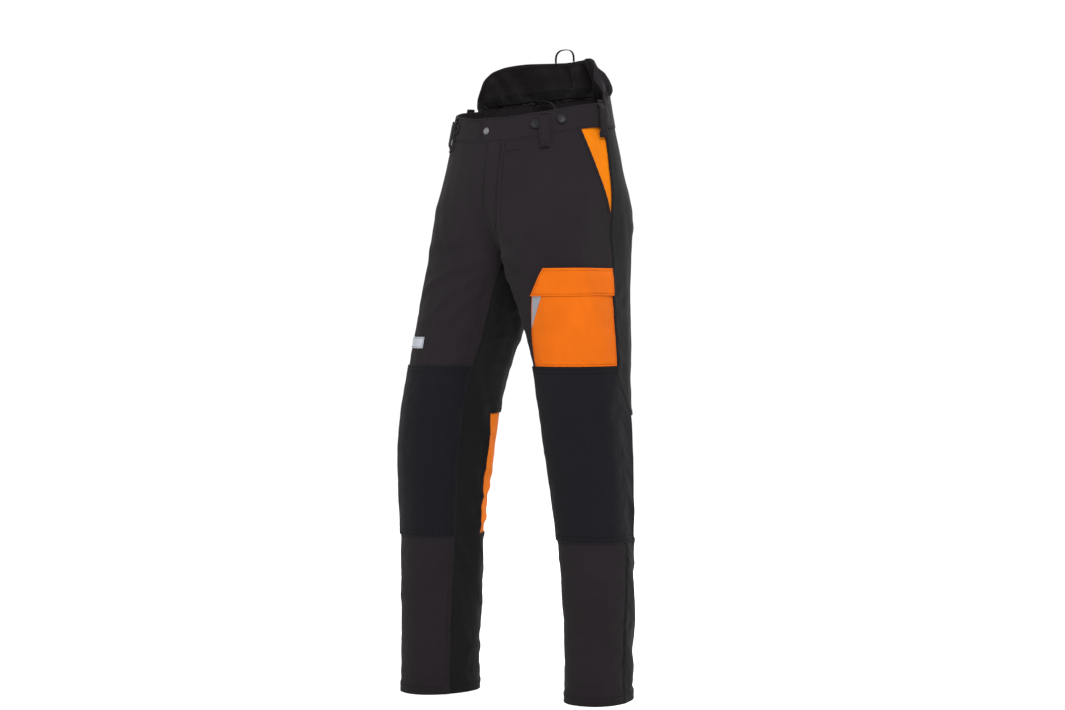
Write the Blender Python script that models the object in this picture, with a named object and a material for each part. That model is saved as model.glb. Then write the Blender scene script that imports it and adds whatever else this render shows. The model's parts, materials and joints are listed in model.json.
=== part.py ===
"""Chainsaw protective trousers: hips, two legs that bend at hip and knee, fly, pockets, kidney panel."""

import math

import bmesh
import bpy
from mathutils import Matrix, Vector

# Heights above the hems, in metres.
SHIN_Z = 0.12
PATCH_LOW_Z = 0.305
KNEE_Z = 0.48
PATCH_TOP_Z = 0.632
CROTCH_Z = 0.84
HIP_LOW_Z = 0.90
HIP_Z = 0.955
RISE_OPEN_Z = 1.00
WAIST_Z = 1.05
WAIST_TOP_Z = 1.14

# A leg's outline at a height: centre x, half width, half depth, turn out, inseam angle, outseam angle, step.
LEG_SHAPE = {
    0.0: (0.154, 0.061, 0.082, 15, 11, -13, 1.0),
    SHIN_Z: (0.154, 0.061, 0.083, 15, 11, -13, 0.97),
    PATCH_LOW_Z: (0.150, 0.071, 0.084, 15, 11, -13, 0.95),
    KNEE_Z: (0.139, 0.079, 0.100, 14, 14, -10, 0.84),
    PATCH_TOP_Z: (0.122, 0.081, 0.110, 5, 20, -2, 0.68),
    CROTCH_Z: (0.098, 0.098, 0.156, 0, 0, 3, 0.0),
}
LEG_CENTRE_Y = {0.0: (0.017,), PATCH_LOW_Z: (0.014,), KNEE_Z: (0.006,), CROTCH_Z: (0.010,)}
RIGHT_STEP = 0.107  # the right hem stands this far forward of the left
FORK_FORWARD = 0.085  # the crotch fork sits this far forward of the section's middle
SIDE_GAP = 0.0005
STAND_BACK = 0.00335

# The hips' outline at a height: half width, front y, back y, widest y.
HIP_SHAPE = {
    CROTCH_Z: (0.196, -0.146, 0.166, -0.075),
    HIP_LOW_Z: (0.194, -0.148, 0.176, -0.05),
    HIP_Z: (0.187, -0.141, 0.176, -0.02),
    WAIST_Z: (0.168, -0.125, 0.160, 0.0),
    WAIST_TOP_Z: (0.155, -0.112, 0.146, 0.01),
    1.25: (0.150, -0.108, 0.142, 0.01),
}
SQUARENESS = 2.25
OPENING_POWER = 0.62
OUTSEAM_BACK = 0.006  # the outseam runs this far behind the middle of the hips

GRID = 1 / 16
CLOTH = 0.002
SEAM = 0.0005
LAYER_GAP = 0.002
PAD = 0.005

WAIST_FRONT_TOP = 1.098
WAIST_SIDE_RISE = 0.030
WAIST_BACK_RISE = 0.014
WAISTBAND = 0.046
KIDNEY_END = 0.435
KIDNEY_END_TOP = 1.172
KIDNEY_TOP = 1.223

HIP_AXIS = (-0.160, 0.842)
HIP_CUT_SLOPE = 0.33
KNEE_AXIS_Z = 0.53
KNEE_AXIS_Y = {1: 0.118, -1: 0.034}
KNEE_CUT_SLOPE = 0.26
CUT_GAP = 0.0006

FLY_HALF = 0.037
FLY_LOW_Z = 0.885
TAB_REACH = 0.019

POCKET_TIP_Z = 0.925
POCKET_MOUTH = 0.378

CARGO_TOP_Z = 0.815
CARGO_LOW_Z = 0.634
CARGO_FLAP = 0.050
CARGO_DEPTH = 0.0075

BAND_LOW_Z = 0.665
CALF_OUT = 0.555
CALF_IN = 0.905
FLARE_TOP_Z = 0.62
FLARE_LOW_Z = 0.55

ZIP_TOP = Vector((0, -0.1155, 1.045))
ZIP_LOW = Vector((0, -0.1095, 0.897))
TOOTH_PITCH = 0.005

COLOURS = {
    "charcoal_cloth": (0.030, 0.026, 0.028, 0.9),
    "knee_cloth": (0.016, 0.016, 0.021, 0.9),
    "orange_cloth": (0.80, 0.19, 0.012, 0.85),
    "pad_fibre": (0.75, 0.72, 0.62, 0.95),
    "lining_mesh": (0.05, 0.05, 0.055, 0.95),
    "webbing": (0.10, 0.10, 0.11, 0.9),
    "reflective": (0.45, 0.46, 0.50, 0.35),
    "black_plastic": (0.012, 0.012, 0.013, 0.35),
    "snap_metal": (0.35, 0.35, 0.36, 0.3),
    "zip_metal": (0.30, 0.27, 0.20, 0.35),
}


def clear_scene():
    for obj in list(bpy.data.objects):
        bpy.data.objects.remove(obj, do_unlink=True)
    for group in list(bpy.data.collections):
        bpy.data.collections.remove(group)


def new_collection(name):
    group = bpy.data.collections.new(name)
    bpy.context.scene.collection.children.link(group)
    return group


def new_anchor():
    """Everything hangs from this empty, which centres the standing trousers on the origin."""
    anchor = bpy.data.objects.new("trousers", None)
    anchor.location = (0, STAND_BACK, 0)
    bpy.context.scene.collection.objects.link(anchor)
    return anchor


def material(name, slot):
    red, green, blue, rough = COLOURS[slot]
    made = bpy.data.materials.new(name + "_" + slot)
    made.use_nodes = True
    shader = made.node_tree.nodes["Principled BSDF"]
    shader.inputs["Base Color"].default_value = (red, green, blue, 1)
    shader.inputs["Roughness"].default_value = rough
    shader.inputs["Metallic"].default_value = 1.0 if slot.endswith("metal") else 0.0
    made.diffuse_color = (red, green, blue, 1)
    return made


def add(name, bm, slot):
    bmesh.ops.recalc_face_normals(bm, faces=bm.faces)
    mesh = bpy.data.meshes.new(name)
    bm.to_mesh(mesh)
    bm.free()
    obj = bpy.data.objects.new(name, mesh)
    PARTS.objects.link(obj)
    obj.parent = ANCHOR
    mesh.materials.append(material(name, slot))
    return obj


def smooth(t):
    t = min(max(t, 0.0), 1.0)
    return t * t * (3 - 2 * t)


def mix(a, b, t):
    return a + (b - a) * t


def along(table, height):
    """The table's row at a height, eased between its stations."""
    stations = sorted(table)
    height = min(max(height, stations[0]), stations[-1])
    k = max(i for i in range(len(stations) - 1) if stations[i] <= height)
    near = [stations[min(max(k + d, 0), len(stations) - 1)] for d in (-1, 0, 1, 2)]
    a, b, c, d = near
    t = (height - b) / (c - b)
    row = []
    for at_a, at_b, at_c, at_d in zip(*(table[s] for s in near)):
        slope_b = (at_c - at_a) / (c - a) * (c - b)
        slope_c = (at_d - at_b) / (d - b) * (c - b)
        row.append(
            (2 * t**3 - 3 * t**2 + 1) * at_b
            + (t**3 - 2 * t**2 + t) * slope_b
            + (3 * t**2 - 2 * t**3) * at_c
            + (t**3 - t**2) * slope_c
        )
    return row


def power(value):
    return math.copysign(abs(value) ** (2 / SQUARENESS), value)


def seam_angle(target, shift, front, back):
    """The angle at which a section with unequal front and back reaches a given y."""
    reach = target - shift
    ratio = abs(reach) / (back if reach > 0 else front)
    return math.copysign(math.degrees(math.asin(ratio ** (SQUARENESS / 2))), reach)


def leg_section(side, z):
    centre_x, half_width, half_depth, turn, inseam, outseam, step = along(LEG_SHAPE, z)
    centre_y = along(LEG_CENTRE_Y, z)[0] - (RIGHT_STEP * step if side < 0 else 0)
    fork = FORK_FORWARD * smooth((z - PATCH_TOP_Z) / (CROTCH_Z - PATCH_TOP_Z))
    spans = (half_width, half_depth - fork, half_depth + fork)
    target = half_depth * power(math.sin(math.radians(outseam)))
    outer = seam_angle(target, -fork, spans[1], spans[2])
    angles = (inseam - 180, outer, inseam + 180)
    return (centre_x, centre_y), -fork, spans, angles, turn


def hip_section(z):
    half_width, front, back, widest = along(HIP_SHAPE, z)
    opening = min((z - CROTCH_Z) / (RISE_OPEN_Z - CROTCH_Z), 1) ** OPENING_POWER
    end = 180 - 90 * opening
    fold = abs(math.cos(math.radians(end))) ** (2 / SQUARENESS) if opening < 1 else 0
    width = half_width / (1 + fold)
    spans = (width, widest - front, back - widest)
    outer = seam_angle((front + back) / 2 + OUTSEAM_BACK, widest, spans[1], spans[2])
    return (half_width - width, widest), 0.0, spans, (-end, outer, end), 0.0


def section(side, z):
    return leg_section(side, z) if z <= CROTCH_Z else hip_section(z)


def section_point(side, share, z):
    """A point on the outside of the cloth. Share runs from the front seam (0) past the outseam (0.5) to 1."""
    (centre_x, centre_y), shift, spans, angles, turn = section(side, z)
    half, front, back = spans
    first, outer, last = angles
    angle = mix(first, outer, share * 2) if share < 0.5 else mix(outer, last, share * 2 - 1)
    angle = math.radians(angle)
    x = half * power(math.cos(angle))
    y = shift + (front if math.sin(angle) < 0 else back) * power(math.sin(angle))
    turned = Matrix.Rotation(math.radians(turn), 2) @ Vector((x, y))
    return Vector((side * (SIDE_GAP + centre_x + turned.x), centre_y + turned.y, z))


def skin(place, z, depth=0.0):
    """place runs from -1 (right front) through 0 (centre back) to 1 (left front); depth is into the leg."""
    side = -1 if place < 0 else 1
    share = 1 - abs(place)
    probe = 0.002
    ahead = section_point(side, min(share + probe, 1), z)
    behind = section_point(side, max(share - probe, 0), z)
    run = (ahead - behind).normalized()
    inward = Vector((-run.y, run.x, 0)) * side
    return section_point(side, share, z) + inward * depth


def value(edge, at):
    return edge(at) if callable(edge) else edge


def between(low, high, count):
    """count + 1 edges from low to high, each a number or a function."""
    return [
        lambda at, k=k: mix(value(low, at), value(high, at), k / count)
        for k in range(count + 1)
    ]


def settle(column, row):
    """The (place, height) where a column meets a row, both of which may lean."""
    z = 0.9
    for _ in range(6):
        place = value(column, z)
        z = value(row, skin(place, z))
    return value(column, z), z


def close_shell(bm, outer, inner, keep):
    """Faces over two grids of vertices, with a rim wherever a kept cell has no kept neighbour.
    Each cell is split along the same diagonal, so that one layer's facets stay parallel to the next's."""
    columns, rows = len(outer) - 1, len(outer[0]) - 1
    kept = {(i, j) for i in range(columns) for j in range(rows) if keep(i, j)}
    for i, j in kept:
        corners = [(i, j), (i + 1, j), (i + 1, j + 1), (i, j + 1)]
        for triangle in (corners[:3], corners[2:] + corners[:1]):
            bm.faces.new([outer[a][b] for a, b in triangle])
            bm.faces.new([inner[a][b] for a, b in reversed(triangle)])
        sides = {(i, j - 1): (0, 1), (i + 1, j): (1, 2), (i, j + 1): (2, 3), (i - 1, j): (3, 0)}
        for neighbour, (a, b) in sides.items():
            if neighbour not in kept:
                (ia, ja), (ib, jb) = corners[a], corners[b]
                bm.faces.new([outer[ib][jb], outer[ia][ja], inner[ia][ja], inner[ib][jb]])
    bmesh.ops.delete(bm, geom=[v for v in bm.verts if not v.link_faces], context="VERTS")


def panel(name, slot, columns, rows, layer, keep=lambda i, j: True):
    """A sheet of cloth that follows the body. layer gives its outer and inner depth, as numbers or functions of row."""
    bm = bmesh.new()
    outer, inner = [], []
    for column in columns:
        spots = [settle(column, row) for row in rows]
        for grid, depth in ((outer, layer[0]), (inner, layer[1])):
            grid.append(
                [bm.verts.new(skin(p, z, value(depth, k))) for k, (p, z) in enumerate(spots)]
            )
    close_shell(bm, outer, inner, keep)
    return add(name, bm, slot)


def front_y(x, z):
    """The cloth's y on the front, near the centre line."""
    (centre_x, centre_y), shift, (half, front, _), _, _ = section(1, z)
    share = min(abs((abs(x) - centre_x) / half), 1)
    return centre_y + shift - front * (1 - share**SQUARENESS) ** (1 / SQUARENESS)


def front_sheet(name, slot, x_range, z_range, layer, grid):
    """A sheet over the centre front, whose depth runs along +Y."""
    bm = bmesh.new()
    outer, inner = [], []
    for i in range(grid[0] + 1):
        x = mix(x_range[0], x_range[1], i / grid[0])
        low, high = value(z_range[0], x), value(z_range[1], x)
        heights = [mix(low, high, j / grid[1]) for j in range(grid[1] + 1)]
        for rows, depth in ((outer, layer[0]), (inner, layer[1])):
            rows.append([bm.verts.new((x, front_y(x, z) + depth, z)) for z in heights])
    close_shell(bm, outer, inner, lambda i, j: True)
    return add(name, bm, slot)


def waist_top(place):
    share = 1 - abs(place)
    side = WAIST_SIDE_RISE * smooth(share * 2)
    return WAIST_FRONT_TOP + side + WAIST_BACK_RISE * smooth(share * 2 - 1)


def place_of(point):
    """The place round the waist that a point stands at."""
    side = -1 if point.x < 0 else 1
    low, high = 0.0, 1.0
    for _ in range(24):
        share = (low + high) / 2
        here = section_point(side, share, point.z)
        if math.atan2(abs(here.x), -here.y) < math.atan2(abs(point.x), -point.y):
            low = share
        else:
            high = share
    return side * (1 - (low + high) / 2)


def waist_line(drop):
    return lambda point: waist_top(place_of(point)) - drop


def hip_cut(offset):
    return lambda point: HIP_AXIS[1] + HIP_CUT_SLOPE * abs(point.x) + offset


def knee_cut(side, offset):
    return lambda point: KNEE_AXIS_Z - KNEE_CUT_SLOPE * (KNEE_AXIS_Y[side] - point.y) + offset


def patch_edge(z):
    """The share where the knee patch ends: it widens past the outseam below its top."""
    flare = min(max((FLARE_TOP_Z - z) / (FLARE_TOP_Z - FLARE_LOW_Z), 0), 1)
    return mix(0.5, CALF_OUT, flare)


def pocket_slash(z):
    """The share where the front panel ends: it runs slanting down to the outseam."""
    top = WAIST_FRONT_TOP - WAISTBAND
    return mix(0.5, POCKET_MOUTH, min(max((z - POCKET_TIP_Z) / (top - POCKET_TIP_Z), 0), 1))


def spread(side, low, high, lines):
    """Columns from one share to another, a seam's width inside both, with the shared grid lines between them.
    Every layer uses the same lines, so that flat facets stay parallel and never meet."""
    inside = 2 * SEAM
    shares = [lambda z: value(low, z) + inside]
    shares += [line * GRID if isinstance(line, int) else line for line in lines]
    shares.append(lambda z: value(high, z) - inside)
    return [lambda z, share=share: side * (1 - value(share, z)) for share in shares]


def word(side):
    return "left" if side > 0 else "right"


def hips(side):
    name = word(side)
    top = waist_line(WAISTBAND + SEAM)
    low = hip_cut(CUT_GAP)
    cloth = (0.0, CLOTH)
    beside = lambda z: mix(5 * GRID, pocket_slash(z), 0.5)
    first, lines = (fly_share, (3, 4, 5, beside)) if side > 0 else (0.004, (1, 2, 3, 4, 5, beside))
    front = spread(side, first, pocket_slash, lines)
    rows = [low] + between(fly_foot, top, 6)
    keep = lambda i, j: True
    if side > 0:
        front.insert(0, 1 - 0.004)
        keep = lambda i, j: i > 0 or j == 0
    panel("hip_front_" + name, "charcoal_cloth", front, rows, cloth, keep)
    back = spread(side, 0.5, 0.996, range(9, 16))
    panel("hip_back_" + name, "charcoal_cloth", back, between(low, top, 7), cloth)
    facing_low = lambda z: pocket_slash(z) - 0.04
    facing_mid = lambda z: mix(facing_low(z), 0.5, 0.5)
    columns = spread(side, facing_low, 0.5, (facing_mid,))
    facing_top = waist_line(WAISTBAND + 0.0015)
    rows = between(POCKET_TIP_Z - 0.015, facing_top, 5)
    layer = (CLOTH + 0.0036, CLOTH + 0.0051)
    panel("pocket_facing_" + name, "orange_cloth", columns, rows, layer)
    columns = spread(side, 4 * GRID, 0.49, (5, 6, 7))
    rows = between(HIP_LOW_Z + 0.015, facing_top, 4)
    panel("pocket_bag_" + name, "lining_mesh", columns, rows, (CLOTH + 0.0075, CLOTH + 0.009))


def fly_foot(point):
    """The row at the fly's foot; further out it rises to stay above the hip cut."""
    return max(FLY_LOW_Z - SEAM, hip_cut(0.015)(point))


def fly_share(z):
    """The share where the left front begins, beside the fly cover."""
    low, high = 0.0, 0.5
    for _ in range(20):
        middle = (low + high) / 2
        if section_point(1, middle, z).x < FLY_HALF + 0.001:
            low = middle
        else:
            high = middle
    return (low + high) / 2


def waistband():
    low, high = waist_line(WAISTBAND), waist_line(0.0)
    thick = (-0.0005, 0.0025)
    slot = "charcoal_cloth"
    rows = between(low, high, 2)
    left = spread(1, fly_share, 0.5, range(3, 8))
    panel("waistband_left", slot, left, rows, thick)
    panel("waistband_back", slot, back_columns(0.499), rows, thick)
    right = panel("waistband_right", slot, spread(-1, 0.033, 0.5, range(1, 8)), rows, thick)
    step = front_sheet(
        "underlap",
        slot,
        (-0.034, FLY_HALF - 0.004),
        (lambda x: band_low(x) + 0.001, lambda x: band_high(x) - 0.001),
        (0.0045, 0.0065),
        (5, 1),
    )
    web = front_sheet(
        "underlap_web",
        slot,
        (-0.033, -0.0235),
        (lambda x: band_low(x) + 0.002, lambda x: band_high(x) - 0.002),
        (0.0003, 0.0055),
        (2, 1),
    )
    for extra in (web, step):
        join(right, extra)


def join(target, extra):
    cut = target.modifiers.new("join " + extra.name, "BOOLEAN")
    cut.operation, cut.solver, cut.object = "UNION", "EXACT", extra
    hide(extra)


def hide(obj):
    PARTS.objects.unlink(obj)
    HELPERS.objects.link(obj)
    obj.hide_render = True
    obj.display_type = "WIRE"


def back_columns(end):
    """Columns round the back from one side to the other, on the shared lines."""
    inner = [k * GRID for k in range(-7, 8) if abs(k) * GRID < end - GRID / 4]
    return [-end] + inner + [end]


def band_low(x):
    return waist_top(1 - abs(x) * 2.2) - WAISTBAND


def band_high(x):
    return waist_top(1 - abs(x) * 2.2)


def fly():
    cover = (-0.002, FLY_HALF)
    top = lambda x: band_low(x) - SEAM
    front_sheet("fly_cover", "charcoal_cloth", cover, (FLY_LOW_Z + 0.001, top), (0, CLOTH), (4, 7))
    tab = (-TAB_REACH, FLY_HALF)
    front_sheet("waistband_tab", "charcoal_cloth", tab, (band_low, band_high), (-0.0005, 0.0025), (5, 2))


def zip_frame():
    """A frame at the top of the zip: +X across, +Y into the body, -Z down the zip."""
    up = (ZIP_TOP - ZIP_LOW).normalized()
    across = Vector((1, 0, 0))
    turn = Matrix((across, up.cross(across), up)).transposed().to_4x4()
    return Matrix.Translation(ZIP_TOP) @ turn


def zip_tape(side):
    """One tape with its row of teeth, cut as a comb from one sheet."""
    length = (ZIP_LOW - ZIP_TOP).length
    tip, root, edge = -0.0013, 0.0018, 0.017
    half_tooth, start = 0.0010, 0.006 + (TOOTH_PITCH / 2 if side > 0 else 0)
    outline = [(edge, 0), (root, 0)]
    count = int((length - start - 0.004) / TOOTH_PITCH)
    for k in range(count):
        middle = start + k * TOOTH_PITCH
        outline += [(root, middle - half_tooth), (tip, middle - half_tooth)]
        outline += [(tip, middle + half_tooth), (root, middle + half_tooth)]
    outline += [(root, length), (edge, length)]
    bm = bmesh.new()
    face = bm.faces.new([bm.verts.new((side * x, 0, -z)) for x, z in outline])
    made = bmesh.ops.extrude_face_region(bm, geom=[face])
    moved = [v for v in made["geom"] if isinstance(v, bmesh.types.BMVert)]
    bmesh.ops.translate(bm, verts=moved, vec=(0, 0.0012, 0))
    bmesh.ops.triangulate(bm, faces=bm.faces)
    bmesh.ops.transform(bm, matrix=zip_frame(), verts=bm.verts)
    add("zip_tape_" + word(side), bm, "zip_metal")


def box(name, slot, size, centre, bevel):
    """A box in the zip's frame."""
    bm = bmesh.new()
    bmesh.ops.create_cube(bm, size=1, matrix=Matrix.Diagonal((*size, 1)))
    bmesh.ops.translate(bm, verts=bm.verts, vec=centre)
    bmesh.ops.bevel(bm, geom=bm.edges, offset=bevel, segments=1, affect="EDGES")
    bmesh.ops.transform(bm, matrix=zip_frame(), verts=bm.verts)
    return add(name, bm, slot)


def zip_slider():
    """The slider's front shell with two ears, and the pull that hangs between them."""
    pivot_z, pivot_y = -0.010, -0.0042
    body = box("zip_slider", "zip_metal", (0.0095, 0.0012, 0.013), (0, -0.0011, -0.012), 0.0003)
    for k, across in enumerate((-0.0032, 0.0032)):
        centre = (across, -0.0036, pivot_z)
        join(body, box("slider_ear_%d" % k, "zip_metal", (0.0012, 0.0042, 0.004), centre, 0.0002))
    centre = (0, pivot_y, pivot_z - 0.0115)
    box("zip_pull", "zip_metal", (0.0044, 0.0012, 0.026), centre, 0.0003)


def fly_shield():
    length = (ZIP_LOW - ZIP_TOP).length
    size = (0.062, 0.0016, length + 0.006)
    box("fly_shield", "charcoal_cloth", size, (0, 0.0036, -length / 2), 0.0003)


def turned(name, slot, profile, matrix, count=16):
    """A lathe-turned piece from (radius, height) points that start and end on the axis."""
    bm = bmesh.new()
    rings = []
    for radius, height in profile:
        if radius == 0:
            rings.append([bm.verts.new((0, 0, height))])
            continue
        turns = [2 * math.pi * k / count for k in range(count)]
        rings.append([bm.verts.new((radius * math.cos(t), radius * math.sin(t), height)) for t in turns])
    for first, second in zip(rings, rings[1:]):
        for k in range(count):
            corners = [first[k % len(first)], first[(k + 1) % len(first)]]
            corners += [second[(k + 1) % len(second)], second[k % len(second)]]
            bm.faces.new(list(dict.fromkeys(corners)))
    bmesh.ops.transform(bm, matrix=matrix, verts=bm.verts)
    return add(name, bm, slot)


def facing(place, z, depth):
    """A frame on the cloth whose +Z points straight out of it."""
    up = (skin(place, z + 0.01) - skin(place, z - 0.01)).normalized()
    sideways = Vector((0, 0, 1)).cross(skin(place, z, -0.01) - skin(place, z)).normalized()
    out = sideways.cross(up)
    turn = Matrix((sideways, up, out)).transposed().to_4x4()
    return Matrix.Translation(skin(place, z) + out * -depth) @ turn


BUTTON = [(0, 0), (0.0085, 0), (0.0092, 0.001), (0.0092, 0.0028), (0.0080, 0.0034), (0.0066, 0.0020), (0, 0.0020)]


def buttons():
    spots = {"inner": 0.176, "outer": 0.282}
    for side in (1, -1):
        for spot, share in spots.items():
            place = side * (1 - share)
            z = waist_top(place) - WAISTBAND * 0.50
            name = "brace_button_" + word(side) + "_" + spot
            turned(name, "black_plastic", BUTTON, facing(place, z, -0.0018))


def snap():
    z = WAIST_FRONT_TOP - WAISTBAND * 0.52
    cap = [(0, 0), (0.0062, 0), (0.0066, 0.0006), (0.0052, 0.0016), (0, 0.0020)]
    turned("snap_cap", "snap_metal", cap, facing(-0.992, z, -0.0012))
    stud = [(0, 0), (0.0045, 0), (0.0045, 0.0005), (0.0022, 0.0005), (0.0022, 0.0012), (0, 0.0012)]
    turned("snap_stud", "snap_metal", stud, facing(-0.992, z, 0.0041), 12)


LOOP_STAND = (0.0003, 0.0012, 0.0040, 0.0040, 0.0012, 0.0003)


def belt_loop(name, place, drop_top, drop_low):
    half = 0.018
    top = waist_top(place)
    columns = between(place - half, place + half, 1)
    rows = [mix(top - drop_low, top - drop_top, t) for t in (0, 0.12, 0.28, 0.72, 0.88, 1)]
    lift = lambda k: -0.0008 - LOOP_STAND[k]
    panel(name, "charcoal_cloth", columns, rows, (lambda k: lift(k) - 0.0016, lift))


def belt_loops():
    for side in (1, -1):
        belt_loop("belt_loop_front_" + word(side), side * 0.769, 0.006, 0.072)
        belt_loop("belt_loop_side_" + word(side), side * 0.505, -0.004, 0.066)
    belt_loop("belt_loop_back", 0.0, 0.003, 0.060)


def kidney_profile(k):
    """Depth by row: gathered in at the foot, puffed out above it, drawn in at the top edge."""
    return (0.004, 0.003, 0.004, 0.010, 0.020, 0.031, 0.040)[k]


def kidney_top(point):
    place = place_of(point)
    return mix(KIDNEY_END_TOP, KIDNEY_TOP, smooth((KIDNEY_END - abs(place)) / (KIDNEY_END * 0.75)))


def kidney():
    rows = between(waist_line(-SEAM), kidney_top, 6)
    columns = back_columns(KIDNEY_END)
    layer = (kidney_profile, lambda k: kidney_profile(k) + CLOTH)
    panel("kidney_panel", "charcoal_cloth", columns, rows, layer)
    columns = back_columns(KIDNEY_END - 0.02)
    rows = between(waist_line(-0.002), waist_line(-0.022), 1)
    layer = (lambda k: (0.0070, 0.0132)[k], lambda k: (0.0085, 0.0147)[k])
    panel("kidney_elastic", "webbing", columns, rows, layer)


def arch(name, slot, span, height, width, thick, matrix, flat=0.5):
    """A strap loop: two legs and a flat top, standing along +Z of the matrix."""
    outline = [(-1, 0), (-0.96, 0.45), (-0.78, 0.82), (-flat, 1), (flat, 1), (0.78, 0.82), (0.96, 0.45), (1, 0)]
    bm = bmesh.new()
    rings = []
    for x, z in outline:
        out = Vector((x * span / 2, 0, z * height))
        lean = Vector((x if abs(x) > flat else x * 0.35, 0, z * 0.6 if abs(x) > flat else 1.0))
        inn = out - lean.normalized() * thick
        if z == 1:
            inn.z = height - thick
        if z == 0:
            inn = out - Vector((math.copysign(thick, x), 0, 0))
        rings.append([bm.verts.new(p + Vector((0, w, 0))) for p, w in ((out, -width / 2), (out, width / 2), (inn, width / 2), (inn, -width / 2))])
    for first, second in zip(rings, rings[1:]):
        for k in range(4):
            bm.faces.new([first[k], first[(k + 1) % 4], second[(k + 1) % 4], second[k]])
    bm.faces.new(rings[0])
    bm.faces.new(reversed(rings[-1]))
    bmesh.ops.transform(bm, matrix=matrix, verts=bm.verts)
    return add(name, bm, slot)


def loops():
    top = skin(0.0, KIDNEY_TOP, kidney_profile(6) + CLOTH / 2)
    at = Matrix.Translation(top + Vector((0, 0, 0.0035)))
    arch("hanger_loop", "webbing", 0.041, 0.021, 0.006, 0.0016, at)
    inside = skin(-0.12, waist_top(-0.12), 0.020)
    inside.z = waist_top(-0.12) - 0.035
    turn = Matrix.Rotation(math.radians(16), 4, "Z")
    arch("inner_loop", "webbing", 0.060, 0.045, 0.010, 0.0014, Matrix.Translation(inside) @ turn, 0.35)


def thigh(side):
    name = word(side)
    top = hip_cut(-CUT_GAP)
    low = knee_cut(side, CUT_GAP)
    cloth = (0.0, CLOTH)
    upper = between(PATCH_TOP_Z + SEAM, CROTCH_Z, 4) + between(CROTCH_Z, top, 2)[1:]
    front = spread(side, 0.0, 0.5, range(1, 8))
    panel("thigh_front_" + name, "charcoal_cloth", front, upper, cloth)
    back = spread(side, patch_edge, 1.0, (lambda z: mix(patch_edge(z), 10 * GRID, 0.5),) + tuple(range(10, 16)))
    rows = [low, FLARE_LOW_Z, FLARE_TOP_Z] + upper
    panel("thigh_back_" + name, "charcoal_cloth", back, rows, cloth)
    inside(side, "thigh_" + name, rows)
    patch = spread(side, 0.0, patch_edge, range(1, 8))
    rows = between(low, FLARE_LOW_Z, 2) + [FLARE_TOP_Z, PATCH_TOP_Z - SEAM]
    panel("knee_patch_upper_" + name, "knee_cloth", patch, rows, (-0.0005, CLOTH + 0.0005))


def inside(side, name, rows):
    """The cut-protection pad over the front half, and the lining all round behind it."""
    front = CLOTH + LAYER_GAP
    pad = spread(side, GRID, 7 * GRID, range(2, 7))
    panel("pad_" + name, "pad_fibre", pad, rows, (front, front + PAD))
    behind = front + PAD + LAYER_GAP
    lining = spread(side, 0.0, 1.0, range(1, 16))
    panel("lining_" + name, "lining_mesh", lining, rows, (behind, behind + 0.0012))


def shin(side):
    name = word(side)
    top = knee_cut(side, -CUT_GAP)
    cloth = (0.0, CLOTH)
    patch = spread(side, 0.0, patch_edge, range(1, 8))
    rows = between(PATCH_LOW_Z + SEAM, top, 4)
    panel("knee_patch_lower_" + name, "knee_cloth", patch, rows, (-0.0005, CLOTH + 0.0005))
    front = spread(side, 0.0, 0.5, range(1, 8))
    panel("shin_front_" + name, "charcoal_cloth", front, between(0.0, PATCH_LOW_Z - SEAM, 4), cloth)
    back = spread(side, 0.5, 1.0, (9, 10, 11, 12, 13, 14, CALF_IN, 15))
    rows = between(0.0, PATCH_LOW_Z - SEAM, 4) + between(PATCH_LOW_Z - SEAM, top, 4)[1:]
    keep = lambda i, j: j < 4 or i >= 7
    panel("shin_back_" + name, "charcoal_cloth", back, rows, cloth, keep)
    calf = spread(side, CALF_OUT, CALF_IN, range(10, 15))
    panel("calf_panel_" + name, "orange_cloth", calf, between(PATCH_LOW_Z + SEAM, top, 4), cloth)
    inside(side, "shin_" + name, between(0.03, top, 6))


def cargo_inner(z):
    """The share of the cargo pocket's front edge: it leans, and its top corner is cut off."""
    lean = mix(0.226, 0.142, (CARGO_TOP_Z - z) / (CARGO_TOP_Z - CARGO_LOW_Z))
    return lean + 0.085 * min(max((z - (CARGO_TOP_Z - CARGO_FLAP)) / CARGO_FLAP, 0), 1)


def cargo_pocket():
    rows = between(CARGO_LOW_Z, CARGO_TOP_Z - 0.004, 5)
    edge = 0.494
    even = lambda low, high: [lambda z, s=s: 1 - s(z) for s in between(low, high, 8)]
    pocket = panel("cargo_pocket", "orange_cloth", even(cargo_inner, edge), rows, (-CARGO_DEPTH, -0.0028))
    wall = 0.022
    hollow = even(lambda z: cargo_inner(z) + wall, edge - wall)
    rows = between(CARGO_LOW_Z + 0.008, CARGO_TOP_Z + 0.01, 5)
    cutter = panel("pocket_hollow", "orange_cloth", hollow, rows, (-CARGO_DEPTH + 0.0018, 0.002))
    hide(cutter)
    cut = pocket.modifiers.new("hollow", "BOOLEAN")
    cut.operation, cut.solver, cut.object = "DIFFERENCE", "EXACT", cutter
    flap = even(lambda z: cargo_inner(z) - 0.002, edge + 0.002)
    rows = between(CARGO_TOP_Z - CARGO_FLAP, CARGO_TOP_Z, 2)
    outside = CARGO_DEPTH + 0.0025
    panel("cargo_flap", "orange_cloth", flap, rows, (-outside - 0.0018, -outside))
    tip = CARGO_TOP_Z - CARGO_FLAP - 0.06
    width = lambda z: 0.004 + 0.05 * (z - tip) / 0.06
    front = lambda z: cargo_inner(z) + 0.003
    wedge = [lambda z, t=t: 1 - front(z) - width(z) * t for t in (0, 0.5, 1)]
    rows = between(tip, CARGO_TOP_Z - CARGO_FLAP - 0.003, 2)
    panel("pocket_reflector", "reflective", wedge, rows, (-CARGO_DEPTH - 0.0016, -CARGO_DEPTH - 0.0008))


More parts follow.
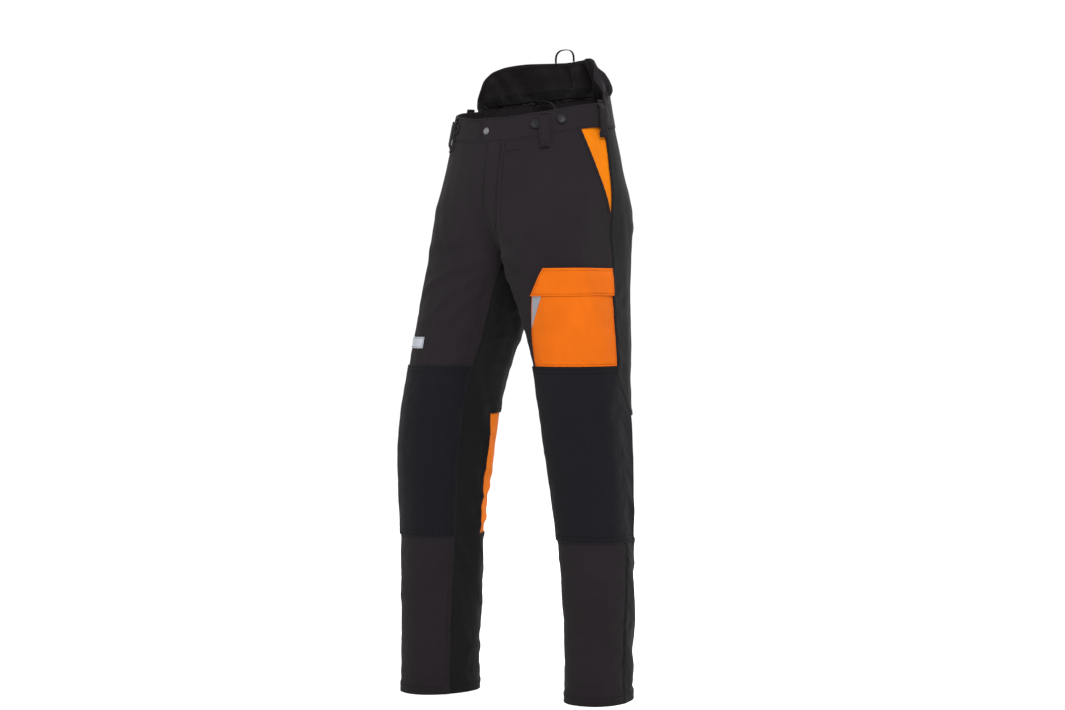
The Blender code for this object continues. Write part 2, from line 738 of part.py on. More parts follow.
def reflective_band():
    columns = spread(-1, 0.2215, 0.497, range(4, 8))
    rows = between(BAND_LOW_Z, BAND_LOW_Z + 0.021, 1)
    panel("reflective_band", "reflective", columns, rows, (-0.0022, -0.0012))


def build():
    waistband()
    fly()
    fly_shield()
    for side in (1, -1):
        hips(side)
        zip_tape(side)
        thigh(side)
        shin(side)
    zip_slider()
    snap()
    buttons()
    belt_loops()
    kidney()
    loops()
    cargo_pocket()
    reflective_band()


clear_scene()
PARTS = new_collection("protective_trousers")
HELPERS = new_collection("helpers")
HELPERS.hide_render = True
ANCHOR = new_anchor()
build()
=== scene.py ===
"""Protective trousers: cloth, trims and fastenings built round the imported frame."""
import json
import math

import bmesh
import bpy
import numpy as np
from mathutils import Matrix, Vector
from mathutils.bvhtree import BVHTree


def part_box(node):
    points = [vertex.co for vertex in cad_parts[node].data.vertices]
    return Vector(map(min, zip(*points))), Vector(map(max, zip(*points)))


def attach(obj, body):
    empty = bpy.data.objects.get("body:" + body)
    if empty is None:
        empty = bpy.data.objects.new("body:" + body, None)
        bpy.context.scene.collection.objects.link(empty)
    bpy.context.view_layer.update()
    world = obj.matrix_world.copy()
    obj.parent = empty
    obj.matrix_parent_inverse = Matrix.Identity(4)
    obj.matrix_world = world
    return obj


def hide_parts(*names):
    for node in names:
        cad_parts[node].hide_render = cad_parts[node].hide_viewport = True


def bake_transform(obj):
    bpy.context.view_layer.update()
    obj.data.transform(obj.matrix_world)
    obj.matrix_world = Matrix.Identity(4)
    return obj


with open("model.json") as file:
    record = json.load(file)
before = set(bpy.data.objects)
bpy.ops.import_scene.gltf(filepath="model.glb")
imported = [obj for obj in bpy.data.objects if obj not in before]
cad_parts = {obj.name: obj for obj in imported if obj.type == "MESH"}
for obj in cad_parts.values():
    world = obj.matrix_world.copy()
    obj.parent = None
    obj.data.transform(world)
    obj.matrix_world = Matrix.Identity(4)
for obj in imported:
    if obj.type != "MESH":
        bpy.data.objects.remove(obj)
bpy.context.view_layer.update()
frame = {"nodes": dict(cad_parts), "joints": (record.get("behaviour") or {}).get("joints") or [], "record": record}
NODES = frame["nodes"]
JOINTS = {joint["name"]: joint for joint in frame["joints"]}
SIDES = {"right": -1, "left": 1}

STEP = 0.0027  # spacing of the cloth's mesh
CLOTH = 0.0015  # thickness of one layer of cloth
LEVEL = 0.006  # spacing of the measured outlines
SEAM_SHARES = 128
CROTCH_Z = JOINTS["left_hip"]["pos_m"][2]


# ---------------------------------------------------------------- measuring the frame

def triangles(*names):
    """The corner points of the nodes' triangles."""
    found = []
    for name in names:
        mesh = NODES[name].data
        mesh.calc_loop_triangles()
        points = np.empty(len(mesh.vertices) * 3)
        mesh.vertices.foreach_get("co", points)
        corners = np.empty(len(mesh.loop_triangles) * 3, int)
        mesh.loop_triangles.foreach_get("vertices", corners)
        found.append(points.reshape(-1, 3)[corners].reshape(-1, 3, 3))
    return np.concatenate(found)


def level_cut(tris, z):
    """Where triangles cross a height: the ends of each segment and the way its triangle faces."""
    above = (tris[:, :, 2] > z).sum(1)
    tris = tris[(above == 1) | (above == 2)]
    ends = np.zeros((len(tris), 2, 2))
    filled = np.zeros(len(tris), int)
    for a, b in ((0, 1), (1, 2), (2, 0)):
        za, zb = tris[:, a, 2], tris[:, b, 2]
        hit = (za > z) != (zb > z)
        share = np.where(hit, (z - za) / np.where(hit, zb - za, 1), 0)
        point = tris[:, a, :2] + share[:, None] * (tris[:, b, :2] - tris[:, a, :2])
        rows = np.nonzero(hit)[0]
        ends[rows, filled[rows]] = point[rows]
        filled[rows] += 1
    normal = np.cross(tris[:, 1] - tris[:, 0], tris[:, 2] - tris[:, 0])
    normal /= np.linalg.norm(normal, axis=1)[:, None] + 1e-12
    return ends, normal[:, :2]


def smoothstep(t):
    t = np.clip(t, 0.0, 1.0)
    return t * t * (3 - 2 * t)


def mix(a, b, t):
    return a + (b - a) * t


def blur(rows, sigma):
    """Rows smoothed along their first axis. Both ends stay where they are."""
    reach = int(3 * sigma) + 1
    weights = np.exp(-0.5 * (np.arange(-reach, reach + 1) / sigma) ** 2)
    weights /= weights.sum()
    head = 2 * rows[:1] - rows[1:reach + 1][::-1]
    tail = 2 * rows[-1:] - rows[-reach - 1:-1][::-1]
    padded = np.concatenate([head, rows, tail])
    flat = padded.reshape(len(padded), -1)
    out = np.stack([np.convolve(flat[:, k], weights, "valid") for k in range(flat.shape[1])], 1)
    return out.reshape(rows.shape)


def arc_lengths(points):
    return np.concatenate([[0], np.cumsum(np.linalg.norm(np.diff(points, axis=0), axis=1))])


def outer_points(tris, side, z, centre):
    ends, normal = level_cut(tris, z)
    middle = ends.mean(1)
    away = middle - centre
    away /= np.linalg.norm(away, axis=1)[:, None] + 1e-12
    keep = ((normal * away).sum(1) > 0.15) & (middle[:, 0] * side > -0.0005)
    shares = np.linspace(0, 1, 5)[None, :, None]
    ends = ends[keep]
    return (ends[:, :1] + shares * (ends[:, 1:] - ends[:, :1])).reshape(-1, 2)


def ring(front, back, side, z):
    """One side's outline at a height, from front seam to back seam, and how far along the outseam is."""
    every = np.concatenate([level_cut(front, z)[0], level_cut(back, z)[0]]).reshape(-1, 2)
    every = every[every[:, 0] * side > -0.0005]
    centre = (every.min(0) + every.max(0)) / 2
    angles, radii = [], []
    for tris, sign in ((front, -1), (back, 1)):
        away = outer_points(tris, side, z, centre) - centre
        angle = np.degrees(np.arctan2(away[:, 1], away[:, 0] * side))
        angles.append(np.where(angle * sign < -90, angle + 360 * sign, angle))
        radii.append(np.hypot(away[:, 0], away[:, 1]))
    seam = angles[1].min()
    angle, radius = np.concatenate(angles), np.concatenate(radii)
    bins = np.linspace(angle.min(), angle.max(), 181)
    which = np.clip(np.digitize(angle, bins) - 1, 0, 179)
    kept = [np.nonzero(which == k)[0] for k in range(180)]
    kept = np.array([k[radius[k].argmax()] for k in kept if len(k)])
    ends = [angle.argmin(), angle.argmax()]
    kept = np.unique(np.concatenate([kept, ends]))
    kept = kept[np.argsort(angle[kept])]
    turn = np.radians(angle[kept])
    line = centre + np.stack([np.cos(turn) * side, np.sin(turn)], 1) * radius[kept][:, None]
    seam_at = np.stack([np.interp(seam, angle[kept], line[:, k]) for k in (0, 1)])
    if z > CROTCH_Z + LEVEL:
        line = meet_centre(line, side, z)
    length = arc_lengths(line)
    nearest = np.linalg.norm(line - seam_at, axis=1).argmin()
    seam_share = length[nearest] / length[-1]
    at = np.linspace(0, length[-1], 4 * SEAM_SHARES + 1)
    line = np.stack([np.interp(at, length, line[:, k]) for k in (0, 1)], 1)
    line = blur(line, 0.008 / (at[1] - at[0]))
    return line, seam_share


def meet_centre(line, side, z):
    """The outline run just past the centre line at both ends. The waistband's overlap is smoothed away."""
    line = line[line[:, 0] * side > 0.0008]
    start, end = line[0].copy(), line[-1].copy()
    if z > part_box("waistband_tab")[0].z - LEVEL:
        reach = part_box("waistband_tab")[1].x
        flat = np.abs(line[:, 0])
        front = line[:, 1] < 0
        beside = front & (flat > reach) & (flat < 2 * reach)
        bend, level = np.polyfit(line[beside, 0] ** 2, line[beside, 1], 1)
        line = line[~(front & (flat <= reach))]
        x = np.linspace(0.0008, reach, 12)
        line = np.concatenate([np.stack([x * side, level + bend * x**2], 1), line])
        start = line[0].copy()
    start[0] = end[0] = -0.0005 * side
    return np.concatenate([start[None], line, end[None]])


def measure_side(name):
    """A smooth table of points on the outside of one side's cloth: shares by heights."""
    side = SIDES[name]
    front = "hip_front_ thigh_front_ knee_patch_upper_ knee_patch_lower_ shin_front_ waistband_".split()
    back = "hip_back_ thigh_back_ shin_back_ calf_panel_".split()
    front = triangles(*[part + name for part in front], "waistband_tab", "fly_cover")
    back = triangles(*[part + name for part in back], "waistband_back")
    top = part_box("waistband_" + name)[0].z + 0.040
    heights = np.arange(0.002, top, LEVEL)
    low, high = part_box("knee_patch_lower_" + name)[0].z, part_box("knee_patch_upper_" + name)[1].z
    seam_gap = 0.0015
    beside = [z + seam_gap if min(abs(z - low), abs(z - high)) < seam_gap else z for z in heights]
    rings = [ring(front, back, side, z) for z in beside]
    seams = np.array([seam for _, seam in rings])
    known = (heights < low - LEVEL) | (heights > high + LEVEL)
    seams = blur(np.interp(heights, heights[known], seams[known])[:, None], 4)[:, 0]
    shares = np.linspace(0, 1, SEAM_SHARES + 1)
    columns = []
    for (line, _), seam in zip(rings, seams):
        length = arc_lengths(line)
        at = np.interp(shares, [0, 0.5, 1], [0, seam, 1]) * length[-1]
        columns.append(np.stack([np.interp(at, length, line[:, k]) for k in (0, 1)], 1))
    table = np.stack(columns)
    ends = table[:, (0, -1), 0].copy()
    table = blur(table, 2.0)
    joined = smoothstep((heights - CROTCH_Z + LEVEL) / (2 * LEVEL))[:, None]
    table[:, (0, -1), 0] = mix(table[:, (0, -1), 0], ends, joined)
    more = np.arange(1, 21)[:, None, None]
    table = np.concatenate([table, table[-1:] + more * (table[-1:] - table[-5:-4]) / 4])
    heights = np.concatenate([heights, heights[-1] + LEVEL * more[:, 0, 0]])
    full = np.concatenate([table, np.broadcast_to(heights[:, None, None], table.shape[:2] + (1,))], 2)
    return heights, full.transpose(1, 0, 2)


# How far the cloth hangs inside the frame's outline: height, at the hips and thighs, behind the waist.
DRAPE = [
    (0.67, 0.0, 0.0),
    (0.73, 0.006, 0.0),
    (0.79, 0.012, 0.0),
    (0.85, 0.0145, 0.0),
    (0.90, 0.0145, 0.0),
    (0.955, 0.008, 0.0),
    (1.03, 0.0, 0.001),
    (1.08, 0.0, 0.008),
    (1.12, 0.0, 0.013),
    (1.30, 0.0, 0.013),
]


def drape(outline, heights):
    """The outline with its rows moved inward by the amounts in DRAPE."""
    table = outline.transpose(1, 0, 2)[..., :2]
    shares = np.linspace(0, 1, table.shape[1])
    at, hips, waist = np.array(DRAPE).T
    hips = blur(np.interp(heights, at, hips)[:, None], 3)
    waist = blur(np.interp(heights, at, waist)[:, None], 3)
    round_hips = np.interp(shares, [0, 0.12, 0.3, 0.62, 0.85, 1], [0, 0.55, 1, 0.65, 0.15, 0])[None]
    behind = smoothstep((shares - 0.42) / 0.2)[None]
    amount = hips * round_hips
    ends = table[:, (0, -1), 0].copy()
    run = np.gradient(table, axis=1)
    run /= np.linalg.norm(run, axis=2)[..., None]
    centre = table.mean(1, keepdims=True)
    inward = np.stack([-run[..., 1], run[..., 0]], 2)
    inward *= np.sign(((centre - table) * inward).sum(2))[..., None]
    table = table + inward * amount[..., None]
    table[..., 1] -= waist * behind
    table[:, (0, -1), 0] = ends
    return np.concatenate([table, outline.transpose(1, 0, 2)[..., 2:]], 2).transpose(1, 0, 2)


HEIGHTS, OUTLINE, SKIN = None, {}, {}
for word, sign in SIDES.items():
    HEIGHTS, OUTLINE[sign] = measure_side(word)
    SKIN[sign] = drape(OUTLINE[sign], HEIGHTS)


def cubic(t):
    return (
        -0.5 * t + t**2 - 0.5 * t**3,
        1 - 2.5 * t**2 + 1.5 * t**3,
        0.5 * t + 2 * t**2 - 1.5 * t**3,
        -0.5 * t**2 + 0.5 * t**3,
    )


def sample(table, u, v):
    """Smooth values between a grid's points. u and v count cells; past the ends it runs on straight."""
    most = [size - 1 for size in table.shape[:2]]
    cu, cv = np.clip(u, 0, most[0]), np.clip(v, 0, most[1])
    i = np.minimum(cu.astype(int), most[0] - 1)
    j = np.minimum(cv.astype(int), most[1] - 1)
    wu, wv = cubic(cu - i), cubic(cv - j)
    total = 0
    for a in range(4):
        row = np.clip(i + a - 1, 0, most[0])
        for b in range(4):
            weight = wu[a] * wv[b]
            value = table[row, np.clip(j + b - 1, 0, most[1])]
            total = total + (weight[..., None] * value if value.ndim > weight.ndim else weight * value)
    return total


def base_point(side, share, z, tables=SKIN):
    """A point on the cloth's smooth outside. Share runs from the front seam to 1, with the outseam at 0.5."""
    share, z = np.broadcast_arrays(np.asarray(share, float), np.asarray(z, float))
    v = (z - HEIGHTS[0]) / LEVEL
    top = len(HEIGHTS) - 1
    u = np.clip(share, 0, 1) * SEAM_SHARES
    point = sample(tables[side], u, v)
    above = np.maximum(v - top, 0)[..., None]
    if above.any():
        near = sample(tables[side], u, np.full_like(v, top - 4))
        edge = sample(tables[side], u, np.full_like(v, top))
        point = point + (edge - near) / 4 * above
    below = np.minimum(v, 0)[..., None]
    if below.any():
        point = point + below * np.array([0, 0, LEVEL])
    return point


def base_frame(side, share, z):
    """The smooth cloth's point and the way it faces."""
    reach, rise = 0.004, 0.003
    share, z = np.broadcast_arrays(np.asarray(share, float), np.asarray(z, float))
    ahead, behind = np.minimum(share + reach, 1), np.maximum(share - reach, 0)
    across = base_point(side, ahead, z) - base_point(side, behind, z)
    up = base_point(side, share, z + rise) - base_point(side, share, z - rise)
    normal = np.cross(across, up) * side
    normal /= np.linalg.norm(normal, axis=-1)[..., None] + 1e-12
    return base_point(side, share, z), normal


def part_lengths():
    """The cloth's width at each height, front and back, for each side."""
    found = {}
    for side, table in SKIN.items():
        steps = np.linalg.norm(np.diff(table, axis=0), axis=2)
        half = SEAM_SHARES // 2
        found[side] = (steps[:half].sum(0), steps[half:].sum(0))
    return found


WIDTHS = part_lengths()


def width_at(side, share, z):
    """Metres of cloth in one whole share of the front or the back."""
    front, back = (2 * np.interp(z, HEIGHTS, w) for w in WIDTHS[side])
    return np.where(np.asarray(share) < 0.5, front, back)


def shift(side, share, z, metres):
    """The share this many metres further round."""
    return share + metres / width_at(side, share, z)


def share_of(side, points, z):
    """The share nearest to each (x, y) point at a height."""
    shares = np.linspace(0, 1, 2 * SEAM_SHARES + 1)
    line = base_point(side, shares, np.full_like(shares, z), OUTLINE)[:, :2]
    a, d = line[:-1], np.diff(line, axis=0)
    t = ((points[:, None] - a) * d).sum(2) / ((d * d).sum(1) + 1e-15)
    t = np.clip(t, 0, 1)
    gap = np.linalg.norm(points[:, None] - a - t[..., None] * d, axis=2)
    best = gap.argmin(1)
    return (best + t[np.arange(len(points)), best]) / (2 * SEAM_SHARES)


def spans(node, side, count=36, wrap=False):
    """The first and last share a node covers at each height. wrap keeps front pieces from share 1."""
    low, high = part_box(node)
    tris = triangles(node)
    heights = np.linspace(low.z + 2e-4, high.z - 2e-4, count)
    first, last = [], []
    for z in heights:
        points = level_cut(tris, z)[0].reshape(-1, 2)
        points = points[points[:, 0] * side > -1e-4]
        shares = share_of(side, points, z) if len(points) else np.array([np.nan])
        shares = np.where(wrap & (shares > 0.8), 0, shares)
        first.append(shares.min())
        last.append(shares.max())
    first, last = np.array(first), np.array(last)
    good = ~np.isnan(first)
    return (
        lambda z: np.interp(z, heights[good], first[good]),
        lambda z: np.interp(z, heights[good], last[good]),
    )


def rims(side, *nodes):
    """The lowest and highest point of nodes at each share, as functions of share."""
    corners = np.unique(triangles(*nodes).reshape(-1, 3).round(5), axis=0)
    corners = corners[corners[:, 0] * side > -1e-4]
    share = np.array([share_of(side, c[None, :2], c[2])[0] for c in corners])
    keys = np.round(share * 48).astype(int)
    groups = [(share[keys == k], corners[keys == k, 2]) for k in np.unique(keys)]
    at, low, high = np.array([(near.mean(), z.min(), z.max()) for near, z in groups]).T
    full = high - low > 0.85 * np.median(high - low)
    at, low, high = at[full], low[full], high[full]
    return lambda s: np.interp(s, at, low), lambda s: np.interp(s, at, high)


# ---------------------------------------------------------------- finishes

class Finish:
    """Builds a material's nodes."""

    def __init__(self, name):
        self.material = bpy.data.materials.new(name)
        self.material.use_nodes = True
        self.tree = self.material.node_tree
        self.shader = self.tree.nodes.get("Principled BSDF")
        self.uv = self.node("UVMap", uv_map="metres").outputs["UV"]
        split = self.node("SeparateXYZ", {"Vector": self.uv})
        self.u, self.v = split.outputs["X"], split.outputs["Y"]

    def put(self, socket, value):
        if isinstance(value, bpy.types.NodeSocket):
            self.tree.links.new(value, socket)
        else:
            socket.default_value = value

    def node(self, kind, inputs=None, **settings):
        made = self.tree.nodes.new("ShaderNode" + kind)
        for key, value in settings.items():
            setattr(made, key, value)
        for key, value in (inputs or {}).items():
            self.put(made.inputs[key], value)
        return made

    def math(self, operation, a, b=0.0):
        return self.node("Math", {0: a, 1: b}, operation=operation).outputs[0]

    def noise(self, scale, detail=2.0):
        return self.node("TexNoise", {"Vector": self.uv, "Scale": scale, "Detail": detail}).outputs["Fac"]

    def remap(self, value, a, b, c, d):
        inputs = {"Value": value, "From Min": a, "From Max": b, "To Min": c, "To Max": d}
        return self.node("MapRange", inputs).outputs["Result"]

    def mix(self, share, a, b):
        made = self.node("Mix", data_type="RGBA")
        for key, value in ((0, share), (6, a), (7, b)):
            self.put(made.inputs[key], value)
        return made.outputs[2]

    def attribute(self, name):
        return self.node("Attribute", attribute_name=name).outputs["Fac"]

    def bump(self, height, strength, distance):
        inputs = {"Height": height, "Strength": strength, "Distance": distance}
        self.put(self.shader.inputs["Normal"], self.node("Bump", inputs).outputs["Normal"])

    def set(self, **inputs):
        for key, value in inputs.items():
            self.put(self.shader.inputs[key.replace("_", " ")], value)


def times(colour, amount):
    return tuple(channel * amount for channel in colour[:3]) + (1.0,)


def ridges(made, style, pitch):
    """The height of the weave, from 0 to 1."""
    turn = 2 * math.pi / pitch
    if style == "twill":
        slant = made.math("ADD", made.u, made.math("MULTIPLY", made.v, 1.2))
        fine = made.math("SINE", made.math("MULTIPLY", slant, turn))
        cross = made.math("SINE", made.math("MULTIPLY", made.v, turn * 1.9))
        both = made.math("ADD", fine, made.math("MULTIPLY", cross, 0.35))
    elif style == "basket":
        across = made.math("SINE", made.math("MULTIPLY", made.u, turn))
        down = made.math("SINE", made.math("MULTIPLY", made.v, turn))
        both = made.math("MULTIPLY", across, down)
    else:
        chevron = made.math("ABSOLUTE", made.math("SINE", made.math("MULTIPLY", made.u, turn * 0.25)))
        slant = made.math("ADD", made.v, made.math("MULTIPLY", chevron, pitch))
        both = made.math("SINE", made.math("MULTIPLY", slant, turn))
    return made.remap(both, -1.3, 1.3, 0.0, 1.0)


def fabric(name, colour, style="twill", pitch=0.0013, rough=0.88, sheen=0.02, wear=0.4, depth=0.0002):
    made = Finish(name)
    weave = ridges(made, style, pitch)
    fleck = made.noise(1700.0, 1.0)
    broad = made.noise(9.0, 3.0)
    cloud = made.noise(55.0, 2.0)
    tone = made.mix(made.remap(broad, 0.3, 0.7, 0, 1), times(colour, 0.88), times(colour, 1.12))
    tone = made.mix(made.remap(cloud, 0.35, 0.65, 0, 0.5), tone, times(colour, 0.9))
    tone = made.mix(made.remap(weave, 0, 1, 0.30, 0), tone, times(colour, 0.6))
    tone = made.mix(made.remap(fleck, 0.52, 0.75, 0, 0.35), tone, times(colour, 1.6))
    edge = made.attribute("edge")
    rubbed, patchy = made.remap(edge, 0.0002, 0.0022, wear, 0), made.remap(cloud, 0.35, 0.6, 0.3, 1)
    rub = made.math("MULTIPLY", rubbed, patchy)
    tone = made.mix(rub, tone, times([channel + 0.002 for channel in colour[:3]], 1.5))
    made.set(Base_Color=tone, Roughness=made.remap(fleck, 0.3, 0.7, rough - 0.05, min(rough + 0.06, 1)))
    made.set(Sheen_Weight=sheen, Sheen_Roughness=0.5, Specular_IOR_Level=0.05)
    height = made.math("ADD", weave, made.math("MULTIPLY", fleck, 0.6))
    made.bump(height, 0.35, depth)
    return made.material


def thread(name, colour):
    made = Finish(name)
    twisted = {"wave_type": "BANDS", "bands_direction": "DIAGONAL"}
    twist = made.node("TexWave", {"Scale": 900.0, "Distortion": 1.0}, **twisted)
    coordinates = made.node("TexCoord").outputs["Object"]
    made.put(twist.inputs["Vector"], coordinates)
    tone = made.mix(twist.outputs["Fac"], times(colour, 0.75), times(colour, 1.3))
    made.set(Base_Color=tone, Roughness=0.75, Specular_IOR_Level=0.04)
    made.bump(twist.outputs["Fac"], 0.3, 0.0001)
    return made.material


def metal(name, colour, rough):
    made = Finish(name)
    coordinates = made.node("TexCoord").outputs["Object"]
    scratch = made.node("TexNoise", {"Vector": coordinates, "Scale": 900.0, "Detail": 3.0}).outputs["Fac"]
    spot = made.node("TexNoise", {"Vector": coordinates, "Scale": 160.0, "Detail": 2.0}).outputs["Fac"]
    tone = made.mix(made.remap(spot, 0.4, 0.7, 0, 1), colour, times(colour, 0.6))
    made.set(Base_Color=tone, Metallic=1.0)
    made.set(Roughness=made.remap(scratch, 0.3, 0.7, rough - 0.08, rough + 0.12))
    made.bump(scratch, 0.15, 0.0001)
    return made.material


def plastic(name, colour, rough):
    made = Finish(name)
    coordinates = made.node("TexCoord").outputs["Object"]
    grain = made.node("TexNoise", {"Vector": coordinates, "Scale": 700.0, "Detail": 2.0}).outputs["Fac"]
    made.set(Base_Color=made.mix(grain, times(colour, 0.8), times(colour, 1.3)), Metallic=0.0)
    made.set(Roughness=made.remap(grain, 0.3, 0.7, rough - 0.04, rough + 0.08))
    made.set(Coat_Weight=0.02, Specular_IOR_Level=0.14)
    made.bump(grain, 0.05, 0.0001)
    return made.material


def reflective(name, colour):
    made = Finish(name)
    cells = made.node("TexVoronoi", {"Vector": made.uv, "Scale": 900.0}, feature="F1")
    beads = cells.outputs["Distance"]
    grime = made.noise(120.0, 2.0)
    tone = made.mix(made.remap(grime, 0.4, 0.7, 0, 0.5), colour, times(colour, 0.8))
    tone = made.mix(made.remap(beads, 0.2, 0.7, 0, 0.4), tone, times(colour, 0.7))
    made.set(Base_Color=tone, Metallic=0.35, Roughness=0.42)
    made.bump(beads, 0.2, 0.0001)
    return made.material


CHARCOAL = (0.0098, 0.0078, 0.0092, 1)
# Painted shade: a darker copy of the charcoal cloth for the backs of the legs, which face away from the lamps.
SHADED_BACK_CHARCOAL = (0.0052, 0.0048, 0.0053, 1)
KNEE_BLACK = (0.0045, 0.0046, 0.0062, 1)
ORANGE = (0.42, 0.082, 0.003, 1)
# Painted light: a brighter copy of the orange cloth, so that the calf panel in the shade behind the knee looks lit
# through from behind.
ORANGE_CALF_PAINTED_LIGHT = (0.60, 0.135, 0.006, 1)
ORANGE_FACING = (0.47, 0.120, 0.001, 1)
FIBRE = (0.34, 0.31, 0.25, 1)
LINING = (0.010, 0.010, 0.012, 1)
TAPE = (0.0048, 0.0046, 0.0052, 1)
PALE_TAPE = (0.016, 0.015, 0.016, 1)
MADE = {}


def finish_of(slot):
    """The material for a slot, made once."""
    makers = {
        "charcoal_cloth": lambda: fabric("charcoal twill", CHARCOAL),
        # Painted shade: the darker copy of the charcoal twill.
        "charcoal_painted_shade": lambda: fabric("charcoal twill with painted shade", SHADED_BACK_CHARCOAL, pitch=0.0011, sheen=0.02),
        "knee_cloth": lambda: fabric("knee weave", KNEE_BLACK, "basket", 0.0016, 0.8, 0.02, 0.3, 0.0003),
        "orange_cloth": lambda: fabric("orange twill", ORANGE, wear=0.1, sheen=0.01),
        # Painted light: the brighter copy of the orange twill for the calf panel.
        "orange_calf_painted_light": lambda: fabric("orange twill with painted light", ORANGE_CALF_PAINTED_LIGHT, wear=0.1, sheen=0.01),
        "orange_facing": lambda: fabric("orange facing", ORANGE_FACING, wear=0.1, sheen=0.01),
        "pad_fibre": lambda: fabric("cut fibre", FIBRE, "basket", 0.0030, 0.95, 0.3, 0.2, 0.0008),
        "lining_mesh": lambda: fabric("knitted lining", LINING, "basket", 0.0022, 0.9, 0.1, 0.1, 0.0006),
        "webbing": lambda: fabric("woven tape", TAPE, "tape", 0.0012, 0.8, 0.02, 0.3, 0.0004),
        "webbing_pale": lambda: fabric("pale woven tape", PALE_TAPE, "tape", 0.0012, 0.8, 0.02),
        "reflective": lambda: reflective("silver tape", (0.30, 0.32, 0.36, 1)),
        "reflective_dull": lambda: reflective("dull silver tape", (0.17, 0.175, 0.195, 1)),
        "black_plastic": lambda: plastic("gloss black", (0.004, 0.004, 0.006, 1), 0.48),
        "snap_metal": lambda: metal("dull nickel", (0.16, 0.16, 0.175, 1), 0.42),
        "zip_metal": lambda: metal("antique brass", (0.30, 0.25, 0.14, 1), 0.35),
        "charcoal_cloth_thread": lambda: thread("charcoal thread", (0.0052, 0.0046, 0.0050, 1)),
        "orange_cloth_thread": lambda: thread("orange thread", (0.30, 0.045, 0.002, 1)),
        "webbing_thread": lambda: thread("grey thread", (0.010, 0.010, 0.011, 1)),
    }
    if slot not in MADE:
        MADE[slot] = makers[slot]()
    return MADE[slot]


# ---------------------------------------------------------------- folds in the cloth

def arc_of(side, share, z):
    """Metres round the cloth from the front seam."""
    front, back = (np.interp(z, HEIGHTS, w) for w in WIDTHS[side])
    return np.where(share < 0.5, share * 2 * front, front + (share * 2 - 1) * back)


def swell(seed, count, shortest, longest):
    """A gentle uneven field of about plus or minus one, as a function of points in metres."""
    rng = np.random.default_rng(seed)
    length = rng.uniform(shortest, longest, count)
    way = rng.normal(size=(count, 3))
    way /= np.linalg.norm(way, axis=1)[:, None]
    phase = rng.uniform(0, 2 * math.pi, count)
    size = length / length.sum() * 2.2

    def field(points):
        total = 0
        for k in range(count):
            total = total + size[k] * np.sin(2 * math.pi * (points @ way[k]) / length[k] + phase[k])
        return total

    return field


BROAD = swell(11, 10, 0.07, 0.20)
SMALL = swell(23, 10, 0.018, 0.045)

# Creases: side, start share and height, end share and height, the ridge's half width and height in metres.
CREASES = [
    (-1, 0.03, 0.835, 0.30, 0.760, 0.010, 0.0032),
    (-1, 0.02, 0.815, 0.22, 0.715, 0.009, 0.0026),
    (-1, 0.05, 0.865, 0.34, 0.835, 0.011, 0.0022),
    (-1, 0.02, 0.780, 0.14, 0.700, 0.008, 0.0018),
    (1, 0.02, 0.838, 0.20, 0.800, 0.010, 0.0026),
    (1, 0.02, 0.815, 0.12, 0.745, 0.008, 0.0020),
    (1, 0.04, 0.868, 0.25, 0.872, 0.012, 0.0018),
    (1, 0.10, 0.925, 0.36, 0.955, 0.014, 0.0012),
    (-1, 0.08, 0.940, 0.40, 0.900, 0.014, 0.0014),
]


def crease_rows():
    """The same creases with those that repeat down the backs of the legs and round the shins."""
    rows = list(CREASES)
    rng = np.random.default_rng(5)
    for side in (-1, 1):
        for k in range(9):
            z = 0.80 - 0.062 * k + rng.uniform(-0.012, 0.012)
            lean = rng.uniform(-0.03, 0.05)
            start = rng.uniform(0.72, 0.80)
            end, tall = rng.uniform(0.93, 1.0), rng.uniform(0.0014, 0.0030)
            rows.append((side, start, z + lean, end, z, 0.009, tall))
        for k in range(5):
            z = 0.62 - 0.045 * k + rng.uniform(-0.010, 0.010)
            start, end = rng.uniform(0.58, 0.64), rng.uniform(0.80, 0.88)
            low, tall = z + rng.uniform(-0.02, 0.02), rng.uniform(0.0012, 0.0026)
            rows.append((side, start, z, end, low, 0.010, tall))
        for k in range(6):
            z = 0.045 + 0.045 * k + rng.uniform(-0.010, 0.010)
            start = rng.uniform(0.0, 0.6)
            end, low = start + rng.uniform(0.18, 0.32), z + rng.uniform(-0.025, 0.025)
            rows.append((side, start, z, end, low, 0.009, rng.uniform(0.0009, 0.0020)))
        for k in range(4):
            z = 0.36 + 0.055 * k + rng.uniform(-0.010, 0.010)
            start = rng.uniform(0.05, 0.30)
            low, tall = z + rng.uniform(-0.03, 0.03), rng.uniform(0.0006, 0.0013)
            rows.append((side, start, z, start + 0.17, low, 0.012, tall))
        for k in range(3):
            z = 0.90 + 0.035 * k
            rows.append((side, 0.62 + 0.05 * k, z, 0.97, z - 0.05, 0.012, 0.0016))
    return rows


CREASE_ROWS = crease_rows()


def crease(a, b, start, end, half, height):
    """A ridge with a hollow below it that fades out at both ends."""
    run = end - start
    size = np.hypot(*run)
    run = run / size
    t = ((a - start[0]) * run[0] + (b - start[1]) * run[1]) / size
    bow = half * 1.2 * np.sin(math.pi * np.clip(t, 0, 1))
    d = (b - start[1]) * run[0] - (a - start[0]) * run[1] - bow
    fade = smoothstep(t / 0.3) * smoothstep((1 - t) / 0.3)
    ridge = np.exp(-((d / half) ** 2)) - 0.55 * np.exp(-(((d + 1.7 * half) / (1.2 * half)) ** 2))
    return height * fade * ridge


def relief(side, share, z):
    """How far the cloth stands off its smooth shape."""
    a, b = arc_of(side, share, z), z
    point = base_point(side, share, z)
    total = 0.0008 * BROAD(point) + 0.00022 * SMALL(point)
    calm = 1 - 0.6 * smoothstep((z - 0.98) / 0.05)
    for row_side, s0, z0, s1, z1, half, height in CREASE_ROWS:
        if row_side != side:
            continue
        start = np.array([arc_of(side, np.float64(s0), np.float64(z0)), z0])
        end = np.array([arc_of(side, np.float64(s1), np.float64(z1)), z1])
        total = total + crease(a, b, start, end, half, height)
    return (total * calm + fold_at(side, share, z)) * np.where(z > 1.04, 0, 1)


